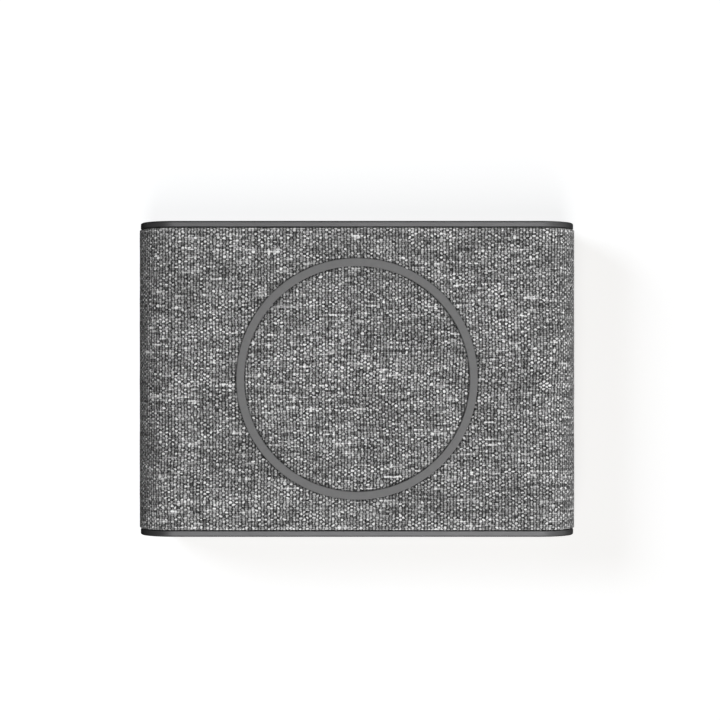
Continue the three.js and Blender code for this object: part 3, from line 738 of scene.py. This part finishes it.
def wander(run, travel):
    """Yarns wander a little, and the cloth is drawn slightly out of square. The join and the two
    ends hold still."""
    calm = np.clip((STRAIGHT - np.abs(travel)) / (6 * MM), 0, 1)
    hold = np.clip(np.minimum(run, PERIMETER - run) / (4 * MM), 0, 1)
    drift = waves(11, 7, 60 * MM, 14 * MM)(run, travel)
    sway = waves(12, 7, 55 * MM, 12 * MM)(run, travel)
    yarn = waves(13, 5, 9 * MM, 2 * MM)
    run = run + hold * (0.16 * MM * drift + 0.05 * MM * yarn(run * 9, travel))
    travel = travel + calm * (0.18 * MM * sway + 0.05 * MM * yarn(run, travel * 9))
    return run, travel


def over_the_end(travel):
    """From the distance along the cloth to Y, to the depth under the body's surface and to the
    angle that it has turned over the tube's end."""
    away = np.abs(travel)
    angle = np.clip(away - STRAIGHT, 0, QUARTER) / EDGE_R
    inward = np.clip(away - STRAIGHT - QUARTER, 0, None)
    y = np.sign(travel) * (np.minimum(away, STRAIGHT) + EDGE_R * np.sin(angle))
    return y, EDGE_R * (1 - np.cos(angle)) + inward, angle


def press(x, y, flat, outer, band):
    """Presses a ring's channel into the flat cloth. Points next to the channel's edges move onto
    them, so that its walls are clean circles. Returns the moves, and which points are pressed."""
    radius = np.hypot(x, y)
    low, high = outer - band - CHANNEL_PLAY, outer + CHANNEL_PLAY
    inside = flat & (radius > low) & (radius < high)
    bordering = np.zeros_like(inside)
    for axis in (0, 1):
        for shift in (1, -1):
            bordering |= inside != np.roll(inside, shift, axis)
    target = radius.copy()
    for edge, inwards in ((low, CHANNEL_WALL), (high, -CHANNEL_WALL)):
        near = flat & bordering & (np.abs(radius - edge) < SNAP_REACH)
        target = np.where(near & inside, edge + inwards, target)
        target = np.where(near & ~inside, edge - inwards, target)
    scale = np.where(radius > 0, target / np.maximum(radius, 1e-9), 1)
    return x * (scale - 1), y * (scale - 1), inside


def cloth_face():
    """The woven face of the cloth, a column of points for every half yarn round the body, with
    the yarns counted across and along, and 1 where it is pressed."""
    run = np.arange(COLUMNS) * PERIMETER / COLUMNS
    run, travel = np.meshgrid(run, np.linspace(-REACH, REACH, PICKS + 1), indexing="ij")
    across = run / WARP_WIDTH
    along = (travel + REACH) / PICK_WIDTH + FIRST_PICK
    run, travel = wander(run, travel)
    y, depth, angle = over_the_end(travel)
    x, z, nx, nz = section(run, depth)
    pressed = np.zeros_like(x)
    for facing, outer, band in ((1, GRIP_OUTER, GRIP_BAND), (-1, FOOT_OUTER, FOOT_BAND)):
        flat = (nz * facing > 0.999) & (depth == 0)
        moved_x, moved_y, inside = press(x, y, flat, outer, band)
        x, y = x + moved_x, y + moved_y
        across = across - facing * moved_x / WARP_WIDTH
        along = along + moved_y / PICK_WIDTH
        pressed = np.where(inside, 1.0, pressed)

    relief = weave_height(across, along) - 1.0
    relief = relief * np.where(pressed > 0, PRESSED_RELIEF, 1.0) * RELIEF
    slub = waves(14, 9, 40 * MM, 8 * MM)(run * 0.5, travel * 2)
    relief = relief - SLUB_SINK * (1 + slub)
    join = np.clip(1 - np.abs(np.mod(across + 0.5, WARPS) - 0.5) / JOIN_WIDTH, 0, 1)
    sink = relief - pressed * CHANNEL - join * JOIN_SINK
    # On the folded ends the relief stands along Y.
    out_y = np.sign(y) * np.sin(angle)
    out = np.cos(angle)
    points = np.stack([x + nx * sink * out, y + out_y * sink, z + nz * sink * out], axis=-1)
    return points, np.stack([across, along, pressed], axis=-1)


def cloth_back():
    """The back of the cloth, which is bonded to the tube, is smooth and needs few rows."""
    run = np.arange(COLUMNS) * PERIMETER / COLUMNS
    rows = []
    for y, depth in (
        (HALF, FOLD),
        (HALF - SHEET, FOLD),
        (HALF - SHEET, SHEET),
        (-HALF + SHEET, SHEET),
        (-HALF + SHEET, FOLD),
        (-HALF, FOLD),
    ):
        x, z, _, _ = section(run, depth)
        rows.append(np.stack([x, np.full_like(x, y), z], axis=-1))
    return np.stack(rows, axis=1)


def cloth_points():
    """All the points of the closed sheet and the yarn counts there, by column and row."""
    face, counts = cloth_face()
    back = cloth_back()
    plain = np.zeros((COLUMNS, back.shape[1], 3))
    plain[:, :, 0] = counts[:, :1, 0]
    plain[:, :, 1] = 30.0
    return np.concatenate([face, back], axis=1), np.concatenate([counts, plain], axis=1)


def fabric_sleeve():
    points, counts = cloth_points()
    rows = points.shape[1]
    i, j = np.meshgrid(np.arange(COLUMNS), np.arange(rows), indexing="ij")
    i2, j2 = (i + 1) % COLUMNS, (j + 1) % rows
    quads = np.stack([i * rows + j, i2 * rows + j, i2 * rows + j2, i * rows + j2], axis=-1)
    quads = quads.reshape(-1, 4)
    mesh = bpy.data.meshes.new("woven_sleeve")
    mesh.from_pydata(points.reshape(-1, 3).tolist(), [], quads.tolist())
    mesh.validate()
    counts = counts.reshape(-1, 3)[quads]
    # The last column's faces close the round, so their far side goes on counting.
    last = np.repeat((i == COLUMNS - 1).reshape(-1), 4).reshape(-1, 4)
    wrapped = last & (counts[:, :, 0] < WARPS / 2)
    counts[:, :, 0] += wrapped * WARPS
    weave = mesh.attributes.new("weave", "FLOAT_VECTOR", "CORNER")
    weave.data.foreach_set("vector", counts.astype(np.float32).ravel())
    for polygon in mesh.polygons:
        polygon.use_smooth = True
    mesh.materials.append(FINISHES["woven_fabric"])
    made = bpy.data.objects.new("woven_sleeve", mesh)
    SCENE.collection.objects.link(made)
    register(made, "root", "fabric_sleeve")


# ---------------- rings


def soft_ring(name, node, band, round_top):
    """A moulded ring with its exposed edges rounded."""
    low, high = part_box(node)
    exposed, buried = 0.22 * MM, 0.05 * MM
    r_top, r_low = (exposed, buried) if round_top else (buried, exposed)
    outer, inner = high.x, high.x - band
    profile = []
    for cx, cz, r, first in (
        (outer - r_low, low.z + r_low, r_low, -90),
        (outer - r_top, high.z - r_top, r_top, 0),
        (inner + r_top, high.z - r_top, r_top, 90),
        (inner + r_low, low.z + r_low, r_low, 180),
    ):
        for k in range(5):
            angle = math.radians(first + 90 * k / 4)
            profile.append((cx + r * math.cos(angle), cz + r * math.sin(angle)))
    shape = Shape()
    shape.turn(profile, 240)
    shape.piece(name, ["silicone"], node, sharp=60)


# ---------------- end plates

PLATE_LOW, PLATE_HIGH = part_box("rear_plate")
PLATE_W = PLATE_HIGH.x - PLATE_LOW.x
PLATE_H = PLATE_HIGH.z - PLATE_LOW.z
PLATE_FACE = PLATE_HIGH.y
PLATE_GAP = 0.14 * MM  # between the plate and the cloth
PLATE_T = PLATE_FACE - (SLEEVE_HIGH.y + PLATE_GAP)
PLATE_EDGE = 0.45 * MM
BROKEN_EDGE = 0.12 * MM
RIM_LENGTH = 5.0 * MM
RIM_WALL = 1.2 * MM
RIM_INSET = 2.35 * MM  # from the plate's edge to the rim's outside
RIM_LEAD_IN = (0.3 * MM, 0.4 * MM)
ROUND_STEPS = 30
LATCH_X = 32 * MM
LATCH_HALF_X, LATCH_HALF_Y = 4 * MM, 0.7 * MM
LATCH_RISE = 0.9 * MM
LATCH_BACK = 2.65 * MM  # from the back of the plate to the middle of a latch
INLET_HEIGHT = 3.26 * MM
SOCKET_GAP = 0.2 * MM
SOCKET_LIP, BUTTON_LIP, PIP_LIP = 0.2 * MM, 0.25 * MM, 0.06 * MM
BUTTON_HOLE = 7.0 * MM
PIP_HOLE = 1.2 * MM
PIP_COUNT = 4
PIP_PITCH = 3 * MM


def opening(width, height, radius, x, steps=8):
    """The outline of a hole or a socket at the body's middle height, grown as asked."""
    return lambda grow: rounded(width, height, radius, grow, (x, MIDDLE), steps)


def bore(shape, side, outline, lip):
    """The wall of a hole. Returns its loops at the plate's face and at the plate's back."""
    loops = []
    for grow, depth in (*fillet(lip, 3), (0, PLATE_T)):
        loops.append(shape.at_y(outline(grow), side * (PLATE_FACE - depth)))
    shape.chain(loops)
    return loops[0], loops[-1]


def latches(shape, side):
    """Four bars outside the rim, which snap into the tube."""
    y = side * (PLATE_FACE - PLATE_T - LATCH_BACK)
    for x in (-LATCH_X, LATCH_X):
        for up in (-1, 1):
            near = MIDDLE + up * (PLATE_H / 2 - RIM_INSET - RIM_WALL / 2)
            far = MIDDLE + up * (PLATE_H / 2 - RIM_INSET + LATCH_RISE)
            low = (x - LATCH_HALF_X, y - LATCH_HALF_Y, min(near, far))
            high = (x + LATCH_HALF_X, y + LATCH_HALF_Y, max(near, far))
            shape.block(low, high, 0.15 * MM)


def end_plate(name, side, holes, node):
    """A plate with a filleted edge and a rim behind it. Its side is -1 in front, 1 at the rear,
    and each hole is (outline, radius of its lip)."""
    shape = Shape()

    def edge(inset, depth):
        outline = rounded(PLATE_W, PLATE_H, PLATE_H / 2, -inset, (0, MIDDLE), ROUND_STEPS)
        return shape.at_y(outline, side * (PLATE_FACE - depth))

    face = [edge(inset, depth) for inset, depth in fillet(PLATE_EDGE, 6)]
    face += [edge(0, PLATE_T - BROKEN_EDGE), edge(BROKEN_EDGE, PLATE_T)]
    shape.chain(face)
    rim_end = PLATE_T + RIM_LENGTH
    rim = [
        edge(RIM_INSET, PLATE_T),
        edge(RIM_INSET, rim_end - RIM_LEAD_IN[1]),
        edge(RIM_INSET + RIM_LEAD_IN[0], rim_end),
        edge(RIM_INSET + RIM_WALL, rim_end),
        edge(RIM_INSET + RIM_WALL, PLATE_T),
    ]
    shape.chain(rim)
    shape.fill(face[-1], [rim[0]])
    bores = [bore(shape, side, outline, lip) for outline, lip in holes]
    shape.fill(face[0], [front for front, _ in bores])
    shape.fill(rim[-1], [back for _, back in bores])
    latches(shape, side)
    shape.piece(name, ["plate_plastic"], node, sharp=40)


def pip_x(k):
    return middle_x("light_guide") + (k - (PIP_COUNT - 1) / 2) * PIP_PITCH


def plates():
    c_low, c_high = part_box("usb_c_shell")
    a_low, a_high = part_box("usb_a_shell")
    c_width, c_height = c_high.x - c_low.x + 2 * SOCKET_GAP, INLET_HEIGHT + 2 * SOCKET_GAP
    a_width, a_height = a_high.x - a_low.x + 2 * SOCKET_GAP, a_high.z - a_low.z + 2 * SOCKET_GAP
    button_x = middle_x("power_button")
    holes = [
        (opening(c_width, c_height, c_height / 2, middle_x("usb_c_shell")), SOCKET_LIP),
        (opening(a_width, a_height, 0.7 * MM, middle_x("usb_a_shell")), SOCKET_LIP),
        (opening(BUTTON_HOLE, BUTTON_HOLE, BUTTON_HOLE / 2, button_x, 10), BUTTON_LIP),
    ]
    for k in range(PIP_COUNT):
        holes.append((opening(PIP_HOLE, PIP_HOLE, PIP_HOLE / 2, pip_x(k), 5), PIP_LIP))
    end_plate("front_cap", -1, holes, "front_plate")
    end_plate("rear_cap", 1, [], "rear_plate")


# ---------------- button and lights


def button_cap():
    """The cap has a softly dished face. A flange stops it behind the plate, and a stem presses
    the switch."""
    low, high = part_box("power_button")
    cap, flange, stem, edge = 3.2 * MM, 4.2 * MM, 1.2 * MM, 0.4 * MM
    flange_front = low.y + 1.35 * MM
    flange_back = flange_front + 0.6 * MM
    chamfer, stem_chamfer = 0.1 * MM, 0.2 * MM
    profile = [(0, low.y + 0.12 * MM), (1.2 * MM, low.y + 0.1 * MM), (2.2 * MM, low.y + 0.03 * MM)]
    profile += [(cap - inset, low.y + depth) for inset, depth in fillet(edge, 5)]
    profile += [
        (cap, flange_front),
        (flange - chamfer, flange_front),
        (flange, flange_front + chamfer),
        (flange, flange_back - chamfer),
        (flange - chamfer, flange_back),
        (stem, flange_back),
        (stem, high.y - stem_chamfer),
        (stem - stem_chamfer, high.y),
        (0, high.y),
    ]
    shape = Shape()
    shape.turn(profile, 72, (middle_x("power_button"), 0, MIDDLE), axis="y")
    shape.piece("button_cap", ["plate_plastic"], "power_button", body="button", sharp=50)


def light_pipe():
    """A frosted bar behind the plate, with a domed pip in each of the plate's four holes."""
    low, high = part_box("light_guide")
    bar_front = low.y + 1.55 * MM
    radius, dome, root = 0.5 * MM, 0.3 * MM, bar_front + 0.1 * MM
    shape = Shape()
    shape.block((low.x, bar_front, low.z), high, 0.2 * MM, steps=3)
    profile = [(0, low.y)]
    for step in range(1, 5):
        angle = math.radians(22.5 * step)
        profile.append((radius * math.sin(angle), low.y + dome * (1 - math.cos(angle))))
    profile += [(radius, root), (0, root)]
    for k in range(PIP_COUNT):
        shape.turn(profile, 24, (pip_x(k), 0, MIDDLE), axis="y")
    shape.piece("light_pipe", ["clear_plastic"], "light_guide")


def lights_on_board():
    """Side-facing LEDs: a white case round a phosphor window."""
    proud, window_depth = 0.08 * MM, 0.3 * MM
    inset = Vector((0.25 * MM, 0, 0.2 * MM))
    for k in range(1, 5):
        low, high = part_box(f"charge_led_{k}")
        window_end = (high.x - inset.x, low.y + window_depth, high.z - inset.z)
        shape = Shape()
        shape.block(low + Vector((0, proud, 0)), high, 0.06 * MM)
        shape.finish(1)
        shape.block(low + inset, window_end, 0.05 * MM)
        finishes = ["led_case", "led_phosphor"]
        shape.piece(f"side_led_{k}", finishes, f"charge_led_{k}")


# ---------------- sockets


def socket_tube(shape, outline, front, back, wall):
    """A drawn steel tube, open in front with a rounded lip and closed at the back."""
    lip, bend = wall / 2, 0.3 * MM
    loops = []
    for k in range(7):
        angle = math.radians(30 * k)
        inset = lip - lip * math.cos(angle)
        loops.append(shape.at_y(outline(-inset), front + lip - lip * math.sin(angle)))
    loops.append(shape.at_y(outline(-wall), back - wall - bend))
    loops.append(shape.at_y(outline(-wall - bend), back - wall))
    bent = shape.at_y(outline(0), back - bend)
    closed = shape.at_y(outline(-bend), back)
    shape.chain([closed, bent, *loops])
    shape.fill(loops[-1])
    shape.fill(closed)


def contact(shape, x, half, y, z, edge):
    """A contact of a tongue, with its y and z as (low, high) pairs."""
    shape.block((x - half, y[0], z[0]), (x + half, y[1], z[1]), edge, steps=1)


def inlet_shell():
    """An oval shell on four legs that are soldered to the board."""
    low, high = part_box("usb_c_shell")
    x, width, wall = middle_x("usb_c_shell"), high.x - low.x, 0.3 * MM
    leg_half, leg_length, leg_inset = 0.4 * MM, 1 * MM, 1 * MM
    leg_top = MIDDLE - INLET_HEIGHT / 2 + wall * 0.8
    outline = opening(width, INLET_HEIGHT, INLET_HEIGHT / 2, x, 14)
    shape = Shape()
    socket_tube(shape, outline, low.y, high.y, wall)
    for side in (-1, 1):
        leg = x + side * (width / 2 - leg_inset)
        for start in (high.y - 1.6 * MM, high.y - 5.2 * MM):
            end = (leg + leg_half, start + leg_length, leg_top)
            shape.block((leg - leg_half, start, low.z), end, 0.08 * MM)
    shape.piece("charging_inlet", ["socket_steel"], "usb_c_shell")


def inlet_tongue():
    """The tongue carries twelve contacts on each face and thickens where it is rooted."""
    low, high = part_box("usb_c_tongue")
    x, height = middle_x("usb_c_shell"), high.z - low.z
    half, thick, edge = 3.3 * MM, 0.35 * MM, 0.15 * MM
    pitch, proud = 0.5 * MM, 0.04 * MM
    root = opening(high.x - low.x, height, height / 2, x)
    root_front = high.y - 1.8 * MM
    tip, end = (x - half, low.y, MIDDLE - thick), (x + half, root_front + 0.3 * MM, MIDDLE + thick)
    shape = Shape()
    loops = [(-edge, root_front), (0, root_front + edge), (0, high.y)]
    shape.solid([shape.at_y(root(grow), y) for grow, y in loops])
    shape.block(tip, end, 0.12 * MM, 0.3 * MM, 3)
    shape.finish(1)
    for k in range(12):
        for up in (-1, 1):
            face = MIDDLE + up * thick
            span = (low.y + 0.4 * MM, root_front)
            rise = (face - proud, face + proud)
            contact(shape, x + (k - 5.5) * pitch, 0.13 * MM, span, rise, 0.03 * MM)
    shape.piece("inlet_tongue", ["socket_tongue_black", "gold_flash"], "usb_c_tongue")


def outlet_shell():
    """Two sprung fingers in the floor and two in the roof press on a plug's shell."""
    low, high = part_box("usb_a_shell")
    x, width, height, wall = middle_x("usb_a_shell"), high.x - low.x, high.z - low.z, 0.35 * MM
    finger_half, finger_rise = 0.7 * MM, 0.28 * MM
    outline = opening(width, height, 0.9 * MM, x, 6)
    shape = Shape()
    socket_tube(shape, outline, low.y, high.y, wall)
    for side in (-1, 1):
        for up in (-1, 1):
            face = MIDDLE + up * (height / 2 - wall)
            finger = x + side * 3.1 * MM
            z0, z1 = sorted((face, face - up * finger_rise))
            start = (finger - finger_half, low.y + 2.2 * MM, z0)
            end = (finger + finger_half, low.y + 5.6 * MM, z1)
            shape.block(start, end, 0.13 * MM, 0.5 * MM, 3)
    shape.piece("outlet_shell", ["socket_steel"], "usb_a_shell")


def outlet_tongue():
    """A broad tongue near the roof, with four contacts on its underside."""
    low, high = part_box("usb_a_tongue")
    x, half, thick = middle_x("usb_a_shell"), 5.5 * MM, 1.9 * MM
    root_front, top = high.y - 2.5 * MM, high.z - 0.35 * MM
    under = top - thick
    shape = Shape()
    shape.block((low.x, root_front, low.z), high, 0.12 * MM)
    tongue_end = (x + half, root_front + 0.3 * MM, top)
    shape.block((x - half, low.y, under), tongue_end, 0.2 * MM, 0.35 * MM, 3)
    shape.finish(1)
    span, rise = (low.y + 0.9 * MM, root_front), (under - 0.1 * MM, under + 0.05 * MM)
    for offset in (-3.5, -1.0, 1.0, 3.5):
        contact(shape, x + offset * MM, 0.5 * MM, span, rise, 0.04 * MM)
    shape.piece("outlet_tongue", ["socket_tongue_white", "gold_flash"], "usb_a_tongue")


# ---------------- what is inside


def coil_winding():
    """Litz wire wound flat in one spiral, from the inside out."""
    low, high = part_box("charging_coil")
    wire = (high.z - low.z) / 2
    inner, steps = 10 * MM, 64
    turns = int((high.x - inner) / (2 * wire))
    path = []
    for k in range((turns - 1) * steps + 1):
        angle = 2 * math.pi * k / steps
        radius = inner + wire + 2 * wire * k / steps
        path.append((radius * math.sin(angle), -radius * math.cos(angle), (low.z + high.z) / 2))
    shape = Shape()
    shape.sweep(path, wire * 0.97, 10)
    shape.piece("coil_winding", ["copper_wire"], "charging_coil", sharp=80)


def ferrite_plate():
    low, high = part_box("ferrite_disc")
    edge = 0.15 * MM
    profile = [(0, low.z), (high.x - edge, low.z), (high.x, low.z + edge), (high.x, high.z - edge)]
    profile += [(high.x - edge, high.z), (0, high.z)]
    shape = Shape()
    shape.turn(profile, 128)
    shape.piece("ferrite_plate", ["ferrite"], "ferrite_disc")


def chip_leads(shape, middle, z):
    """Six leads on each of the four sides, which reach the board."""
    count, pitch, half = 6, 0.62 * MM, 0.13 * MM
    near, far, thick = 1.7 * MM, 2.5 * MM, 0.2 * MM
    for k in range(count):
        offset = (k - (count - 1) / 2) * pitch
        for side in (-1, 1):
            start, end = sorted((side * near, side * far))
            for (x0, y0), (x1, y1) in (
                ((start, offset - half), (end, offset + half)),
                ((offset - half, start), (offset + half, end)),
            ):
                low = (middle.x + x0, middle.y + y0, z)
                high = (middle.x + x1, middle.y + y1, z + thick)
                shape.block(low, high, 0.04 * MM, steps=1)


def pin_one_mark(shape, low, top):
    """A small dished disc in the corner of a chip."""
    radius, from_corner = 0.28 * MM, 1.1 * MM
    profile = [
        (0, top - 0.05 * MM),
        (radius, top - 0.05 * MM),
        (radius, top + 0.01 * MM),
        (0.2 * MM, top + 0.01 * MM),
        (0, top - 0.01 * MM),
    ]
    shape.turn(profile, 20, (low.x + from_corner, low.y + from_corner, 0))


def chips():
    """Leaded packages with an epoxy body."""
    lead, stand = 0.45 * MM, 0.08 * MM
    for node, name in (("charge_controller", "charge_chip"), ("coil_driver", "driver_chip")):
        low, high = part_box(node)
        shape = Shape()
        body_low = (low.x + lead, low.y + lead, low.z + stand)
        body_high = (high.x - lead, high.y - lead, high.z)
        shape.block(body_low, body_high, 0.08 * MM, 0.15 * MM)
        pin_one_mark(shape, low, high.z)
        shape.finish(1)
        chip_leads(shape, (low + high) / 2, low.z)
        shape.piece(name, ["chip_epoxy", "socket_steel"], node)


def chokes():
    """Moulded power inductors, with a broad terminal folded under each end."""
    skin, half, strap = 0.12 * MM, 1.3 * MM, 0.2 * MM
    under, up_the_end = 1.4 * MM, 2 * MM
    for k in (1, 2):
        node = f"power_inductor_{k}"
        low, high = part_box(node)
        y = (low.y + high.y) / 2
        shape = Shape()
        core_low, core_high = (low.x + skin, low.y, low.z + skin), (high.x - skin, high.y, high.z)
        shape.block(core_low, core_high, 0.25 * MM, 0.7 * MM, 3)
        shape.finish(1)
        for length, height in ((under, strap), (strap, up_the_end)):
            for x0, x1 in ((low.x, low.x + length), (high.x - length, high.x)):
                shape.block((x0, y - half, low.z), (x1, y + half, low.z + height), 0.05 * MM)
        shape.piece(f"choke_{k}", ["ferrite", "socket_steel"], node)


def capacitors():
    """Ceramic blocks with tinned end caps."""
    cap, skin = 0.65 * MM, Vector((0.3, 0.04, 0.04)) * MM
    for k in range(1, 5):
        node = f"resonant_capacitor_{k}"
        low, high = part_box(node)
        shape = Shape()
        shape.block(low + skin, high - skin, 0.12 * MM)
        shape.finish(1)
        shape.block(low, (low.x + cap, high.y, high.z), 0.14 * MM, steps=3)
        shape.block((high.x - cap, low.y, low.z), high, 0.14 * MM, steps=3)
        shape.piece(f"tank_capacitor_{k}", ["capacitor_ceramic", "socket_steel"], node)


def battery_pouch():
    """A soft pouch, slightly crowned, with its sealed side seams folded up against it."""
    low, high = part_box("battery_cell")
    seam, overlap, from_end, half = 0.5 * MM, 0.1 * MM, 0.4 * MM, 3 * MM
    x, z = (low.x + high.x) / 2, (low.z + high.z) / 2
    width, height = high.x - low.x - 2 * seam, high.z - low.z
    crown = [(0, 0.9), (0.15, 0.45), (0.5, 0.12), (1.2, 0)]  # (depth, inset) in millimetres
    ends = [(low.y + depth * MM, inset * MM) for depth, inset in crown]
    ends += [(high.y - depth * MM, inset * MM) for depth, inset in reversed(crown)]
    shape = Shape()
    shape.solid([shape.at_y(rounded(width, height, 1.6 * MM, -i, (x, z), 6), y) for y, i in ends])
    for x0, x1 in ((low.x, low.x + seam + overlap), (high.x - seam - overlap, high.x)):
        start, end = (x0, low.y + from_end, z - half), (x1, high.y - from_end, z + half)
        shape.block(start, end, 0.2 * MM)
    shape.piece("battery_pouch", ["cell_foil"], "battery_cell")


def screw_side(low, high):
    """(radius, z) up a pan-head screw: its point, its thread, its seat and its domed head."""
    head, shaft, seat = 1.9 * MM, 0.95 * MM, high - 1.1 * MM
    pitch, thread_depth = 0.4 * MM, 0.16 * MM
    brim, dome = seat + 0.5 * MM, 0.6 * MM
    thread = low + 0.6 * MM
    side = [(0.45 * MM, low), (shaft, thread)]
    while thread + pitch < seat - pitch:
        side += [(shaft - thread_depth, thread + pitch / 2), (shaft, thread + pitch)]
        thread += pitch
    side += [(shaft, seat), (head, seat)]
    for k in range(5):
        angle = math.radians(18 * k)
        side.append((head * 0.6 + head * 0.4 * math.cos(angle), brim + dome * math.sin(angle)))
    return side


def cross(x, y, arm, half):
    """The outline of a cross recess."""
    points = []
    for quarter in range(4):
        cos, sin = math.cos(quarter * math.pi / 2), math.sin(quarter * math.pi / 2)
        for a, b in ((arm, -half), (arm, half), (half, half)):
            points.append((x + cos * a - sin * b, y + sin * a + cos * b))
    return points


def pan_screws():
    """Pan heads with a real cross recess, on a real thread."""
    arm, half, depth, taper = 0.95 * MM, 0.19 * MM, 0.7 * MM, 0.6
    nodes = [f"carrier_screw_{k}" for k in range(1, 5)] + ["board_screw_1", "board_screw_2"]
    for node in nodes:
        low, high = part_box(node)
        x, y = (low.x + high.x) / 2, (low.y + high.y) / 2
        shape = Shape()
        loops = [shape.at_z(circle(x, y, radius), z) for radius, z in screw_side(low.z, high.z)]
        shape.chain(loops)
        shape.fill(loops[0])
        brim = shape.at_z(cross(x, y, arm, half), high.z)
        foot = shape.at_z(cross(x, y, arm * taper, half * taper), high.z - depth)
        shape.bridge(brim, foot)
        shape.fill(foot)
        shape.fill(loops[-1], [brim])
        shape.piece("pan_" + node, ["socket_steel"], node)


# ---------------- everything

camera()
lights(floor())
surroundings()
dress_nodes()
fabric_sleeve()
soft_ring("silicone_grip", "grip_ring", GRIP_BAND, True)
soft_ring("silicone_foot", "foot_ring", FOOT_BAND, False)
plates()
button_cap()
light_pipe()
lights_on_board()
inlet_shell()
inlet_tongue()
outlet_shell()
outlet_tongue()
coil_winding()
ferrite_plate()
chips()
chokes()
capacitors()
battery_pouch()
pan_screws()

SCENE.view_settings.view_transform = "Standard"
SCENE.view_settings.look = "None"
